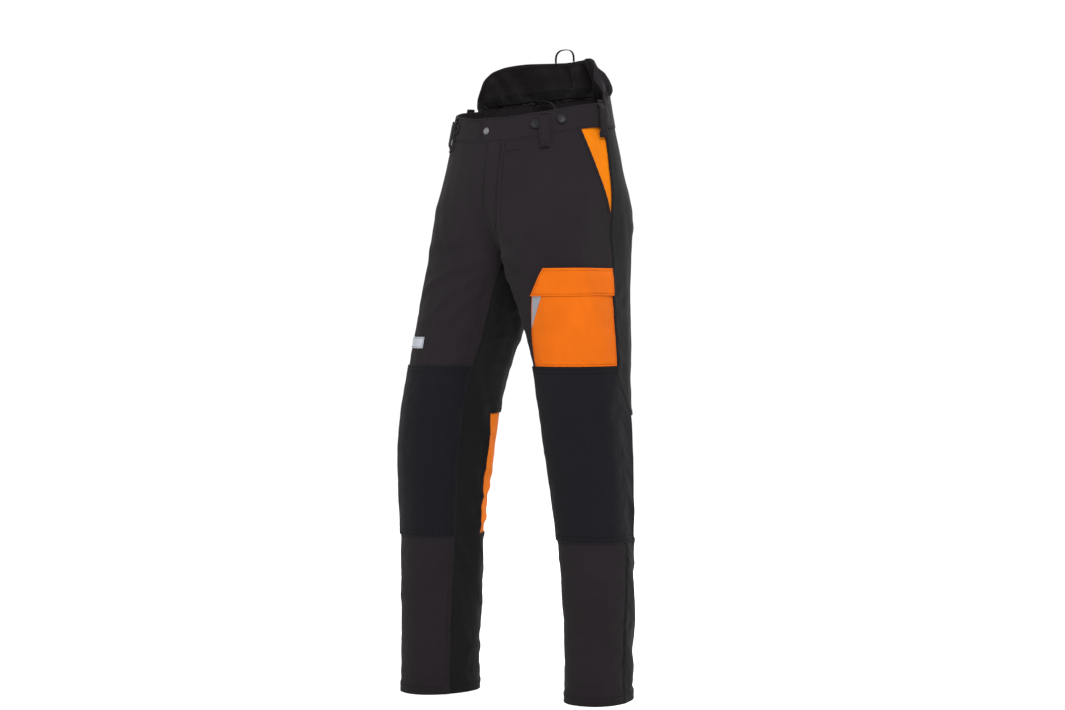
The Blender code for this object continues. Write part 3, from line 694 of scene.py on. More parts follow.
def lay(side, share, z, out=0.0, give=1.0):
    """Points on the folded cloth, this far out from it, and the way they face."""
    point, normal = base_frame(side, share, z)
    amount = out + give * relief(side, share, z)
    return point + normal * np.asarray(amount)[..., None], normal


def leg_cage(side, around, up):
    """A coarse closed leg for the cloth simulation, as rows of points round the leg."""
    share, z = np.meshgrid(np.arange(around) / around, np.linspace(0.006, CROTCH_Z - 0.006, up))
    points, _ = base_frame(side, share, z)
    return share, z, points


def hang_cloth(name, points, weights):
    """Lets a closed tube of slightly too large cloth hang and crumple, held where weights are 1."""
    up, around = weights.shape
    index = np.arange(up * around).reshape(up, around)
    nxt = np.roll(index, -1, axis=1)
    faces = np.stack([index[:-1], nxt[:-1], nxt[1:], index[1:]], 2).reshape(-1, 4)
    mesh = bpy.data.meshes.new(name)
    mesh.from_pydata(points.reshape(-1, 3).tolist(), [], faces.tolist())
    obj = bpy.data.objects.new(name, mesh)
    bpy.context.scene.collection.objects.link(obj)
    group = obj.vertex_groups.new(name="held")
    for value in np.unique(weights):
        group.add(index[weights == value].tolist(), float(value), "REPLACE")
    modifier = obj.modifiers.new("cloth", "CLOTH")
    settings = modifier.settings
    settings.quality, settings.mass, settings.air_damping = 6, 0.2, 3.0
    settings.tension_stiffness = settings.compression_stiffness = 18
    settings.shear_stiffness, settings.bending_stiffness = 6, 0.6
    settings.shrink_min = -0.07
    settings.use_pressure, settings.uniform_pressure_force = True, 1.2
    settings.vertex_group_mass, settings.pin_stiffness = "held", 1.0
    modifier.collision_settings.use_collision = False
    modifier.point_cache.frame_end = SIM_FRAMES
    for number in range(1, SIM_FRAMES + 1):
        bpy.context.scene.frame_set(number)
    ready = obj.evaluated_get(bpy.context.evaluated_depsgraph_get())
    result = np.empty(len(mesh.vertices) * 3)
    ready.data.vertices.foreach_get("co", result)
    bpy.data.objects.remove(obj)
    bpy.context.scene.frame_set(1)
    return result.reshape(points.shape)


SIM_FRAMES = 36


def simulated_folds():
    """How far a hanging leg's cloth has crumpled in or out, as a table of shares by heights for each side."""
    around, up = 64, 96
    found = {}
    for side in (1, -1):
        share, z, points = leg_cage(side, around, up)
        held = np.zeros(share.shape)
        held[0] = held[-1] = 1.0
        padded = smoothstep((0.25 - np.abs(share - 0.25)) / 0.08)
        held = np.maximum(held, np.round(0.3 * padded, 1))
        seam = (np.arange(around) == 0) | (np.arange(around) == around // 2)
        held[:, seam] = np.maximum(held[:, seam], 0.6)
        result = hang_cloth("hanging_leg", points, held)
        _, normal = base_frame(side, share, z)
        moved = ((result - points) * normal).sum(2)
        wrapped = np.concatenate([moved, moved, moved], 1)
        broad = blur(blur(wrapped.T, 7).T, 7)[:, around:2 * around]
        fold = np.clip(moved - broad, -0.012, 0.012)
        fold = np.concatenate([fold, fold[:, :1]], 1)
        found[side] = fold.T
    return found


FOLD_HEIGHT = 0.0030


def fold_table():
    """The simulated folds, scaled so that the strongest stand about FOLD_HEIGHT off the cloth."""
    tables = simulated_folds()
    strong = np.percentile(np.abs(np.concatenate([t.ravel() for t in tables.values()])), 97) + 1e-6
    return {side: np.tanh(table / strong) * FOLD_HEIGHT for side, table in tables.items()}


FOLDS = fold_table()


def fold_at(side, share, z):
    """The simulated folds at a place, gentler over the pads in front and gone above the fork."""
    if FOLDS is None:
        return 0
    table = FOLDS[side]
    v = (z - 0.006) / (CROTCH_Z - 0.012) * (table.shape[1] - 1)
    value = sample(table, np.clip(share, 0, 1) * (table.shape[0] - 1), v)
    front = smoothstep((0.25 - np.abs(share - 0.25)) / 0.10)
    return value * (1 - 0.62 * front) * (1 - smoothstep((z - CROTCH_Z + 0.08) / 0.07))


# ---------------------------------------------------------------- making meshes

def grid_mesh(name, outer, inner, slot, keep=None, uv=None, edge=None, flip=False, bulge=0.35):
    """A closed sheet between two grids of points, with rounded rims."""
    nu, nv = outer.shape[:2]
    if keep is None:
        keep = np.ones((nu - 1, nv - 1), bool)
    index = np.arange(nu * nv).reshape(nu, nv)
    count = nu * nv
    i, j = np.nonzero(keep)
    quads = np.stack([index[i, j], index[i + 1, j], index[i + 1, j + 1], index[i, j + 1]], 1)
    faces = [quads, quads[:, ::-1] + count]
    middle = (outer + inner) / 2
    away = np.zeros_like(outer)
    padded = np.pad(keep, 1)
    rims = []
    sides = ((0, -1, (0, 0), (1, 0)), (1, 0, (1, 0), (1, 1)), (0, 1, (1, 1), (0, 1)), (-1, 0, (0, 1), (0, 0)))
    for di, dj, first, second in sides:
        open_side = ~padded[1 + i + di, 1 + j + dj]
        ii, jj = i[open_side], j[open_side]
        centre = (outer[ii, jj] + outer[ii + 1, jj + 1] + outer[ii + 1, jj] + outer[ii, jj + 1]) / 4
        a, b = (ii + first[0], jj + first[1]), (ii + second[0], jj + second[1])
        out = (outer[a] + outer[b]) / 2 - centre
        out /= np.linalg.norm(out, axis=1)[:, None] + 1e-12
        np.add.at(away, a, out)
        np.add.at(away, b, out)
        rims.append((index[a], index[b]))
    rim_a = np.concatenate([a for a, _ in rims])
    rim_b = np.concatenate([b for _, b in rims])
    faces.append(np.stack([rim_b, rim_a, rim_a + 2 * count, rim_b + 2 * count], 1))
    faces.append(np.stack([rim_b + 2 * count, rim_a + 2 * count, rim_a + count, rim_b + count], 1))
    away /= np.linalg.norm(away, axis=2)[..., None] + 1e-12
    thick = np.linalg.norm(outer - inner, axis=2)[..., None]
    middle = middle + away * thick * bulge
    points = np.concatenate([grid.reshape(-1, 3) for grid in (outer, inner, middle)])
    faces = np.concatenate(faces)
    if flip:
        faces = faces[:, ::-1]
    if uv is None:
        uv = np.stack(np.meshgrid(np.arange(nu) * STEP, np.arange(nv) * STEP, indexing="ij"), 2)
    if edge is None:
        edge = np.full((nu, nv), 0.02)
    uvs = np.concatenate([uv.reshape(-1, 2)] * 3)
    edges = np.concatenate([edge.reshape(-1), edge.reshape(-1), np.zeros(count)])
    return new_mesh(name, points, faces, slot, uvs, edges)


def new_mesh(name, points, faces, slot, uvs=None, edges=None, finish=None):
    """A mesh object from arrays. Points that no face uses are dropped."""
    used = np.zeros(len(points), bool)
    used[faces.ravel()] = True
    renumber = np.cumsum(used) - 1
    faces = renumber[faces]
    mesh = bpy.data.meshes.new(name)
    mesh.vertices.add(int(used.sum()))
    mesh.vertices.foreach_set("co", points[used].astype(np.float32).ravel())
    sides = faces.shape[1]
    mesh.loops.add(faces.size)
    mesh.loops.foreach_set("vertex_index", faces.ravel().astype(np.int32))
    mesh.polygons.add(len(faces))
    mesh.polygons.foreach_set("loop_start", np.arange(0, faces.size, sides, dtype=np.int32))
    mesh.polygons.foreach_set("loop_total", np.full(len(faces), sides, np.int32))
    mesh.update(calc_edges=True)
    mesh.polygons.foreach_set("use_smooth", np.ones(len(faces), bool))
    if uvs is not None:
        layer = mesh.uv_layers.new(name="metres")
        layer.data.foreach_set("uv", uvs[used][faces.ravel()].astype(np.float32).ravel())
    if edges is not None:
        attribute = mesh.attributes.new("edge", "FLOAT", "POINT")
        attribute.data.foreach_set("value", edges[used].astype(np.float32))
    obj = bpy.data.objects.new(name, mesh)
    bpy.context.scene.collection.objects.link(obj)
    mesh.materials.append(finish_of(finish or slot))
    return obj


def const(value):
    return lambda at: np.full_like(np.asarray(at, float), value)


def graded(length, step, border=0.0006):
    """Shares from 0 to 1, even but for a narrow border cell at each end."""
    count = max(int(math.ceil(length / step)), 3)
    inner = np.linspace(border / length, 1 - border / length, count)
    return np.concatenate([[0], inner, [1]])


class Patch:
    """A grid on one side's cloth between two leaning sides and two leaning ends."""

    def __init__(self, side, lo, hi, low, high, step=STEP, u=None, v=None):
        self.side = side
        share = (lo(np.float64(0.7)) + hi(np.float64(0.7))) / 2
        z = (low(share) + high(share)) / 2
        across = float((hi(z) - lo(z)) * width_at(side, share, z))
        u = graded(max(across, 0.004), step) if u is None else u
        v = graded(float(high(share) - low(share)), step) if v is None else v
        U, V = np.meshgrid(u, v, indexing="ij")
        Z = mix(low(share), high(share), V)
        for _ in range(5):
            S = mix(lo(Z), hi(Z), U)
            Z = mix(low(S), high(S), V)
        self.share, self.z = mix(lo(Z), hi(Z), U), Z
        width = width_at(side, self.share, Z)
        self.d_lo = (self.share - lo(Z)) * width
        self.d_hi = (hi(Z) - self.share) * width
        self.d_low = Z - low(self.share)
        self.d_high = high(self.share) - Z
        self.edge = np.minimum(np.minimum(self.d_lo, self.d_hi), np.minimum(self.d_low, self.d_high))
        self.edge = np.maximum(self.edge, 0)
        self.uv = np.stack([arc_of(side, self.share, Z), Z], 2)

    def shell(self, name, slot, out=0.0, thick=CLOTH, give=1.0, keep=None, bulge=0.35, finish=None):
        out = np.broadcast_to(np.asarray(out, float), self.share.shape)
        thick = np.broadcast_to(np.asarray(thick, float), self.share.shape)
        outer, normal = lay(self.side, self.share, self.z, out, give)
        inner = outer - normal * thick[..., None]
        flip = self.side < 0
        made = grid_mesh(name, outer, inner, slot, keep, self.uv, self.edge, flip, bulge)
        made.data.materials[0] = finish_of(finish or slot)
        return made


def pucker(distance, along, reach=0.009, height=0.00028, pitch=0.0105):
    """Small waves beside a line of stitches."""
    wave = np.sin(2 * math.pi * along / pitch + 1.7 * np.sin(2 * math.pi * along / 0.049))
    return height * np.exp(-np.maximum(distance, 0) / reach) * wave


def welt(distance, width=0.009, height=0.0008):
    """The step where a folded seam allowance lies under the cloth's edge."""
    return height * (1 - smoothstep((distance - width) / 0.003))


# ---------------------------------------------------------------- stitches

THREADS = {}


def stitch(key, points, normals, pitch=0.0036, radius=0.00030, slot="charcoal_cloth"):
    """Adds a row of stitches along a line of points. key says which piece of thread it belongs to."""
    length = arc_lengths(points)
    count = int(length[-1] / pitch)
    if count < 1:
        return
    rings, sides = np.array([-0.42, -0.34, 0.0, 0.34, 0.42]), 5
    size = np.array([0.45, 1.0, 1.05, 1.0, 0.45])
    rise = np.array([-0.9, 0.25, 0.55, 0.25, -0.9])
    centres = (np.arange(count) + 0.5) * (length[-1] / count)
    at = centres[:, None] + rings[None] * pitch
    spine = np.stack([np.interp(at, length, points[:, k]) for k in range(3)], 2)
    facing = np.stack([np.interp(at, length, normals[:, k]) for k in range(3)], 2)
    facing /= np.linalg.norm(facing, axis=2)[..., None]
    run = spine[:, -1:] - spine[:, :1]
    run /= np.linalg.norm(run, axis=2)[..., None] + 1e-12
    beside = np.cross(np.broadcast_to(run, facing.shape), facing)
    spine = spine + facing * (rise * radius)[None, :, None]
    turns = 2 * math.pi * np.arange(sides) / sides
    rise, spread = (wave(turns)[None, None, :, None] for wave in (np.sin, np.cos))
    offset = facing[:, :, None] * rise + beside[:, :, None] * spread
    points = spine[:, :, None] + offset * (size * radius)[None, :, None, None]
    THREADS.setdefault((key, slot), []).append(points)


def sew(key_name, key, slot):
    """One mesh from all the stitches under a key."""
    blocks = np.concatenate(THREADS[(key, slot)])
    count, rings, sides = blocks.shape[:3]
    index = np.arange(rings * sides).reshape(rings, sides)
    faces = []
    for r in range(rings - 1):
        for s in range(sides):
            t = (s + 1) % sides
            faces.append([index[r, s], index[r, t], index[r + 1, t], index[r + 1, s]])
    ends = []
    for r, order in ((0, 1), (rings - 1, -1)):
        ends.append([index[r, k] for k in (4, 3, 2, 1)][::order])
        ends.append([index[r, k] for k in (4, 1, 0)][::order])
    quads = np.array(faces)[:, ::-1]
    offsets = (np.arange(count) * rings * sides)[:, None, None]
    quads = (quads[None] + offsets).reshape(-1, 4)
    pieces = [quads[:, [0, 1, 2]], quads[:, [0, 2, 3]]]
    for end in ends:
        for k in range(1, len(end) - 1):
            cap = np.array([end[0], end[k], end[k + 1]])
            pieces.append((cap[None] + offsets[:, 0]).reshape(-1, 3))
    faces = np.concatenate(pieces)
    return new_mesh(key_name, blocks.reshape(-1, 3), faces, slot, finish=slot + "_thread")


def stitch_line(key, side, shares, heights, out, give=1.0, **rest):
    """Stitches along a line on one side's cloth."""
    count = 160
    at = np.linspace(0, 1, count)
    spots = np.linspace(0, 1, len(shares))
    share, z = np.interp(at, spots, shares), np.interp(at, spots, heights)
    points, normals = lay(side, share, z, out, give)
    stitch(key, points, normals, **rest)


def stitch_edge(key, patch, which, distance, out, give=1.0, trim=(0.0, 0.0), **rest):
    """Stitches along one edge of a patch, this far in from it."""
    side = patch.side
    if which in ("lo", "hi"):
        row = 0 if which == "lo" else -1
        z, share = patch.z[row], patch.share[row]
        share = shift(side, share, z, distance if which == "lo" else -distance)
        run = z
    else:
        column = 0 if which == "low" else -1
        z, share = patch.z[:, column], patch.share[:, column]
        z = z + (distance if which == "low" else -distance)
        run = arc_of(side, share, z)
    first, last = run.min() + trim[0], run.max() - trim[1]
    kept = (run >= first - 1e-9) & (run <= last + 1e-9)
    points, normals = lay(side, share[kept], z[kept], out, give)
    stitch(key, points, normals, **rest)


# ---------------------------------------------------------------- where the hip meets the thigh, and baked placements

def hip_zone(side):
    """Where the cloth turns from the hips to the thigh: a slanting band below the fork."""
    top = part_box("thigh_front_" + ("left" if side > 0 else "right"))[1]
    outer = float(base_point(side, 0.5, top.z)[0]) * side
    slope = (top.z - CROTCH_Z) / outer
    down = Vector((side * slope, 0, -1)).normalized()
    start = Vector((0, 0, CROTCH_Z))
    return start, start + down * 0.064


def ride_hip(obj, side):
    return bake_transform(obj)


def ride_knee(obj, side):
    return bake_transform(obj)


# ---------------------------------------------------------------- lines the panels share

def back_rise(rim):
    """A waistband rim that climbs just behind the side seam."""
    return lambda share: rim(share) + 0.015 * smoothstep((np.asarray(share) - 0.505) / 0.12)


WAIST = {side: rims(side, "waistband_" + name, "waistband_back") for name, side in SIDES.items()}
WAIST = {side: (low, back_rise(high)) for side, (low, high) in WAIST.items()}
PATCH_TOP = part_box("knee_patch_upper_left")[1].z
PATCH_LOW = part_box("knee_patch_lower_left")[0].z
CALF_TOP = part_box("calf_panel_left")[1].z + 0.012
FLY_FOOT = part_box("fly_cover")[0].z
FLY_LOW = FLY_FOOT + 0.055  # the left front has its edge beside the fly from here up
FLY_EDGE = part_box("fly_cover")[1].x
TAB_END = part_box("waistband_tab")[0].x
LAP = 0.007  # how far one layer runs under the next


def waist_low(side):
    """Where the panels end, a little way up under the waistband."""
    low = WAIST[side][0]
    return lambda share: low(share) + 0.004


def share_at_x(side, x, z):
    """The share at which the cloth's front reaches this far from the centre line."""
    low, high = np.zeros_like(np.asarray(z, float)), np.full_like(np.asarray(z, float), 0.4)
    for _ in range(18):
        middle = (low + high) / 2
        inside = base_point(side, middle, z)[..., 0] * side < x
        low, high = np.where(inside, middle, low), np.where(inside, high, middle)
    return (low + high) / 2


def fly_share(z):
    return share_at_x(1, FLY_EDGE - 0.003, np.maximum(z, FLY_LOW))


SLASH_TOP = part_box("pocket_facing_left")[1].z - 0.0105
SLASH_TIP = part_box("pocket_facing_left")[0].z + 0.005
SLASH_SHARE = float(spans("hip_front_left", 1)[1](SLASH_TOP - 0.02))


def slash(z):
    """The front panel's outer edge: the outseam, then the slanting mouth of the hand pocket."""
    rise = np.clip((z - SLASH_TIP) / (SLASH_TOP - SLASH_TIP), 0, 1.2)
    return mix(0.5, SLASH_SHARE, rise)


_, PATCH_OUT = spans("knee_patch_upper_left", 1, wrap=True)
CALF_IN, CALF_OUT = (edge(CALF_TOP - 0.1) for edge in spans("calf_panel_left", 1))


def patch_out(z):
    return np.where(z > CALF_TOP + 0.012, np.clip(PATCH_OUT(z), 0.5, CALF_IN), CALF_IN)


# ---------------------------------------------------------------- the trousers' panels

def front_upper(name, side):
    """The front of hip and thigh, from the waistband down under the knee patch."""
    key = ("hip", side)
    foot = const(PATCH_TOP - LAP)
    outer_edge = lambda z: np.where(z > SLASH_TIP, slash(z), shift(side, 0.5, z, 0.004))
    if side > 0:
        u_split, v_split = 0.16, (FLY_LOW - PATCH_TOP) / (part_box("waistband_tab")[0].z - PATCH_TOP)
        u = np.concatenate([np.linspace(0, u_split, 14)[:-1], u_split + (1 - u_split) * graded(0.19, STEP)])
        below, above = graded(FLY_LOW - PATCH_TOP, STEP), graded(0.17, STEP)[1:]
        v = np.concatenate([v_split * below, v_split + (1 - v_split) * above])
        panel = FlyFront(side, outer_edge, foot, waist_low(side), u, v, u_split, v_split)
    else:
        panel = Patch(side, const(0.0), outer_edge, foot, waist_low(side))
    out = welt(panel.d_lo) * (panel.z < CROTCH_Z) + pucker(panel.d_lo, panel.z)
    if side > 0:
        out = out - 0.0012 * (1 - smoothstep((panel.d_lo - 0.003) / 0.002)) * (panel.z > FLY_FOOT)
    mouth_rim = (1 - smoothstep((panel.d_hi - 0.002) / 0.008)) * (panel.z > SLASH_TIP)
    out = out + pucker(panel.d_hi, panel.z) + 0.0007 * mouth_rim
    made = panel.shell("cloth_front_upper_" + name, "charcoal_cloth", out, keep=getattr(panel, "keep", None))
    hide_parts("hip_front_" + name, "thigh_front_" + name)
    ride_hip(made, side)
    inseam = np.linspace(PATCH_TOP, CROTCH_Z - 0.002, 40)
    for distance in (0.0022, 0.0076):
        stitch_line(key, side, shift(side, 0.0, inseam, distance), inseam, 0.0009)
    mouth = np.linspace(SLASH_TIP + 0.002, float(waist_low(side)(slash(1.05))) - 0.002, 60)
    for distance in (0.0020, 0.0075):
        stitch_line(key, side, shift(side, slash(mouth), mouth, -distance), mouth, 0.0006)
    return panel


class FlyFront(Patch):
    """The left front: above the fly's foot it begins beside the fly cover."""

    def __init__(self, side, hi, low, high, u, v, u_split, v_split):
        lo = const(0.0)
        super().__init__(side, lo, hi, low, high, u=u, v=v)
        U, V = np.meshgrid(u, v, indexing="ij")
        Z = np.where(V <= v_split, mix(low(0.0), FLY_LOW, V / v_split), FLY_LOW)
        S = np.zeros_like(Z)
        for _ in range(6):
            inner = mix(0.0, fly_share(Z), U / u_split)
            outer = mix(fly_share(Z), hi(Z), (U - u_split) / (1 - u_split))
            S = np.where(U <= u_split, inner, outer)
            Z = np.where(V <= v_split, Z, mix(FLY_LOW, high(S), (V - v_split) / (1 - v_split)))
        self.share, self.z = S, Z
        width = width_at(side, S, Z)
        begin = np.where(Z > FLY_LOW + 1e-6, fly_share(Z), 0.0)
        self.d_lo = (S - begin) * width
        self.d_hi = (hi(Z) - S) * width
        self.d_low, self.d_high = Z - low(S), high(S) - Z
        gaps = np.stack([self.d_lo, self.d_hi, self.d_low, self.d_high])
        self.edge = np.maximum(gaps.min(0), 0)
        self.uv = np.stack([arc_of(side, S, Z), Z], 2)
        middle_u, middle_v = (u[:-1] + u[1:]) / 2, (v[:-1] + v[1:]) / 2
        self.keep = ~((middle_u[:, None] < u_split) & (middle_v[None] > v_split))


def back_upper(name, side):
    """The seat and the back of the thigh. Its edge lies over the front's at the outseam."""
    panel = Patch(side, const(0.5), const(1.0), const(PATCH_TOP), waist_low(side))
    out = welt(panel.d_lo) + pucker(panel.d_lo, panel.z) + pucker(panel.d_hi, panel.z)
    if side > 0:
        out = out + welt(panel.d_hi) * (panel.z > CROTCH_Z)
    # The seat takes the darker charcoal copy: painted shade.
    made = panel.shell("cloth_back_upper_" + name, "charcoal_cloth", out, finish="charcoal_painted_shade")
    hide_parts("hip_back_" + name)
    ride_hip(made, side)
    for distance in (0.0022, 0.0076):
        stitch_edge(("hip", side), panel, "lo", distance, 0.0010)
        if side > 0:
            z = np.linspace(CROTCH_Z + 0.02, float(waist_low(side)(1.0)) - 0.002, 80)
            stitch_line(("hip", side), side, shift(side, 1.0, z, -distance), z, 0.0010)
    return panel


def back_lower(name, side):
    """The back of the leg from mid-thigh to the hem, with a window for the calf panel."""
    rows = [0.0, PATCH_LOW, CALF_TOP, PATCH_TOP]
    steps = [graded(high - low, STEP) for low, high in zip(rows, rows[1:])]
    rises = [(low + (high - low) * step[1:]) / PATCH_TOP for low, high, step in zip(rows, rows[1:], steps)]
    v = np.concatenate([[0.0]] + rises)
    stops = [0.5, CALF_IN, CALF_OUT, 1.0]
    widths = [0.030, 0.14, 0.045]
    parts = [graded(width, STEP) for width in widths]
    runs = [(a + (b - a) * part[1:] - 0.5) * 2 for a, b, part in zip(stops, stops[1:], parts)]
    u = np.concatenate([[0.0]] + runs)
    panel = Patch(side, const(0.5), const(1.0), const(0.0), const(PATCH_TOP), u=u, v=v)
    middle_s = 0.5 + (u[:-1] + u[1:]) / 4
    middle_z = (v[:-1] + v[1:]) / 2 * PATCH_TOP
    window = (middle_s[:, None] < CALF_OUT) & (middle_z[None] > PATCH_LOW) & (middle_z[None] < CALF_TOP)
    width = width_at(side, panel.share, panel.z)
    beside = np.maximum((panel.share - CALF_OUT) * width, 0)
    beyond = np.maximum(np.maximum(PATCH_LOW - panel.z, panel.z - CALF_TOP), 0)
    rim = np.hypot(beside, beyond)
    panel.edge = np.minimum(panel.edge, rim)
    low_hem = hem_lift(panel.z)
    out = welt(rim, 0.008, 0.0007) + low_hem + welt(panel.d_lo) * (panel.z < PATCH_LOW)
    out = out + pucker(rim, panel.z + panel.share)
    out = out + pucker(panel.d_hi, panel.z)
    thick = CLOTH + 0.7 * low_hem
    label = "cloth_back_lower_" + name
    # The back of the leg takes the darker charcoal copy: painted shade.
    made = panel.shell(label, "charcoal_cloth", out, thick, keep=~window, finish="charcoal_painted_shade")
    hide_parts("shin_back_" + name, "thigh_back_" + name)
    ride_knee(made, side)
    for distance in (0.0020, 0.0070):
        key = ("knee", side)
        z = np.linspace(PATCH_LOW, CALF_TOP, 60)
        stitch_line(key, side, shift(side, CALF_OUT, z, distance), z, 0.0008)
        share = np.linspace(CALF_IN, CALF_OUT, 60)
        stitch_line(key, side, share, np.full_like(share, PATCH_LOW - distance), 0.0008)
        stitch_line(key, side, share, np.full_like(share, CALF_TOP + distance), 0.0008)
        z = np.linspace(0.004, PATCH_LOW, 90)
        stitch_line(key, side, shift(side, 0.5, z, distance), z, 0.0010)
    sew_hem(side, 0.5, 1.0)
    return panel


HEM = 0.019


def hem_lift(z):
    """The hem is folded double, so that it stands a little proud."""
    return 0.0008 * (1 - smoothstep((z - HEM) / 0.0025))


def sew_hem(side, first, last):
    share = np.linspace(first + 0.002, last - 0.002, 200)
    stitch_line(("shin", side), side, share, np.full_like(share, HEM - 0.003), 0.0009)


def front_lower(name, side):
    """The front of the shin."""
    outer_edge = lambda z: shift(side, 0.5, z, 0.004)
    panel = Patch(side, const(0.0), outer_edge, const(0.0), const(PATCH_LOW + LAP))
    low_hem = hem_lift(panel.z)
    out = welt(panel.d_lo) + pucker(panel.d_lo, panel.z) + low_hem
    out = out + pucker(panel.d_low, arc_of(side, panel.share, panel.z), 0.02)
    made = panel.shell("cloth_front_lower_" + name, "charcoal_cloth", out, CLOTH + 0.7 * low_hem)
    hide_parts("shin_front_" + name)
    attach(made, name + "_shin")
    z = np.linspace(0.004, PATCH_LOW - 0.003, 90)
    for distance in (0.0022, 0.0076):
        stitch_line(("shin", side), side, shift(side, 0.0, z, distance), z, 0.0010)
    sew_hem(side, 0.0, 0.5)
    return panel


PATCH_OUT_BY = 0.0024


def knee_patch(name, side):
    """The hard-wearing patch over the knee, sewn on with two rows all round."""
    panel = Patch(side, const(0.0), patch_out, const(PATCH_LOW), const(PATCH_TOP))
    run = arc_of(side, panel.share, panel.z)
    out = PATCH_OUT_BY + pucker(panel.d_high, run, 0.012, 0.0004) + pucker(panel.d_low, run, 0.012, 0.0004)
    for distance in (0.0030, 0.0110):
        for gap in (panel.d_high, panel.d_low):
            out = out - 0.00035 * np.exp(-(((gap - distance) / 0.0016) ** 2))
    made = panel.shell("cloth_knee_patch_" + name, "knee_cloth", out, 0.0019, give=0.75, bulge=0.45)
    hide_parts("knee_patch_upper_" + name, "knee_patch_lower_" + name)
    ride_knee(made, side)
    key = ("knee", side)
    for distance in (0.0030, 0.0110):
        stitch_edge(key, panel, "high", distance, PATCH_OUT_BY - 0.0002, give=0.75)
        stitch_edge(key, panel, "low", distance, PATCH_OUT_BY - 0.0002, give=0.75)
    for distance in (0.0026, 0.0080):
        stitch_edge(key, panel, "hi", distance, PATCH_OUT_BY + 0.0001, give=0.75)
        stitch_edge(key, panel, "lo", distance, PATCH_OUT_BY + 0.0001, give=0.75)
    return panel


def calf_panel(name, side):
    """The orange panel let into the back of the leg, under the edges round it."""
    lo = lambda z: shift(side, CALF_IN, z, -0.006)
    hi = lambda z: shift(side, CALF_OUT, z, 0.005)
    panel = Patch(side, lo, hi, const(PATCH_LOW - 0.005), const(CALF_TOP + 0.005))
    # The calf panel takes the brighter orange copy: painted light on a panel in shade.
    made = panel.shell("cloth_calf_panel_" + name, "orange_cloth", -0.0016, 0.0012, finish="orange_calf_painted_light")
    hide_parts("calf_panel_" + name)
    ride_knee(made, side)
    return panel


def inside_layers(name, side):
    """The pads and the lining, split at the patch's top."""
    for part, low, high, ride in (
        ("thigh", PATCH_TOP, None, ride_hip),
        ("shin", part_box("lining_shin_" + name)[0].z, PATCH_TOP, ride_knee),
    ):
        slope = hip_slope(side)
        top = slope if high is None else const(high)
        lining = Patch(side, const(0.0), const(1.0), const(low), top, step=0.0045)
        made = lining.shell("lining_" + part + "_" + name + "_cloth", "lining_mesh", -0.0112, 0.0010)
        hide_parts("lining_" + part + "_" + name)
        ride(made, side)
        pad = Patch(side, const(1 / 16), const(7 / 16), const(low), top, step=0.0045)
        across = pad.uv[..., 0]
        rows = [np.sin(math.pi * (across + way * pad.z) / 0.05) for way in (1, -1)]
        quilt = np.abs(rows[0] * rows[1]) ** 0.35
        puff = 0.0026 * quilt * smoothstep(pad.edge / 0.008)
        node = "pad_" + part + "_" + name
        made = pad.shell(node + "_fibre", "pad_fibre", -0.0062 + puff * 0.5, 0.0016 + puff)
        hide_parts(node)
        ride(made, side)


def hip_slope(side):
    """The height of the hip's cut at each share."""
    shares = np.linspace(0, 1, 65)
    start, end = hip_zone(side)
    down = (end - start).normalized()
    slope = -down.x / down.z
    z = np.full_like(shares, CROTCH_Z)
    for _ in range(6):
        z = CROTCH_Z + slope * base_point(side, shares, z)[:, 0] - 0.002
    return lambda share: np.interp(share, shares, z)


def legs():
    for name, side in SIDES.items():
        front_upper(name, side)
        back_upper(name, side)
        knee_patch(name, side)
        calf_panel(name, side)
        back_lower(name, side)
        front_lower(name, side)
        inside_layers(name, side)


def sew_all():
    """One piece of thread for each group of stitches that move together."""
    words = {-1: "right", 1: "left"}
    for key, slot in list(THREADS):
        kind, place = key
        name = "_".join(["stitching", kind, words.get(place, place), slot.split("_")[0]])
        made = sew(name, key, slot)
        if kind == "hip":
            ride_hip(made, place)
        elif kind == "knee":
            ride_knee(made, place)
        elif kind == "flap":
            ride_flap(made)
        else:
            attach(made, words[place] + "_shin" if kind == "shin" else place)


# ---------------------------------------------------------------- waistband and fly

def roll(distance, radius):
    """How far a rounded edge draws in, this far from the edge."""
    short = np.clip(1 - distance / radius, 0, 1)
    return radius * (1 - np.sqrt(1 - short**2))


def rounded_steps(length, step, radius):
    """Shares from 0 to 1 with close steps at both ends for a rounded edge."""
    near = np.array([0, 0.12, 0.35, 0.7]) * radius
    count = max(int((length - 2 * radius) / step), 2)
    middle = np.linspace(radius, length - radius, count + 1)
    return np.concatenate([near, middle, length - near[::-1]]) / length


def front_lay(along, z, out=0.0, give=1.0):
    """Points on the front at so many metres round from the centre. Beyond the centre, along is below 0."""
    along, z = np.broadcast_arrays(np.asarray(along, float), np.asarray(z, float))
    found = {}
    for side in (1, -1):
        share = np.abs(along) / width_at(side, 0.2, z)
        found[side] = lay(side, share, z, out, give)
    left = (along >= 0)[..., None]
    return [np.where(left, a, b) for a, b in zip(found[1], found[-1])]


def back_lay(around, reach, z, out=0.0, give=1.0):
    """Points round the back. around runs from -1, left, to 1, right, within reach shares of the centre."""
    around, z = np.broadcast_arrays(np.asarray(around, float), np.asarray(z, float))
    share = 1 - np.abs(around) * reach
    found = {side: lay(side, share, z, out, give) for side in (1, -1)}
    left = smoothstep(0.5 - around * 60)[..., None]
    return [mix(b, a, left) for a, b in zip(found[1], found[-1])]


def sheet(name, slot, place, thick, uv, edge, bulge=0.35):
    """A closed sheet from (points, normals) on its outside."""
    outer, normal = place
    inner = outer - normal * np.broadcast_to(np.asarray(thick, float), outer.shape[:2])[..., None]
    return grid_mesh(name, outer, inner, slot, None, uv, edge, False, bulge)


BAND = 0.0032  # thickness of the doubled waistband
BAND_OUT = 0.0015


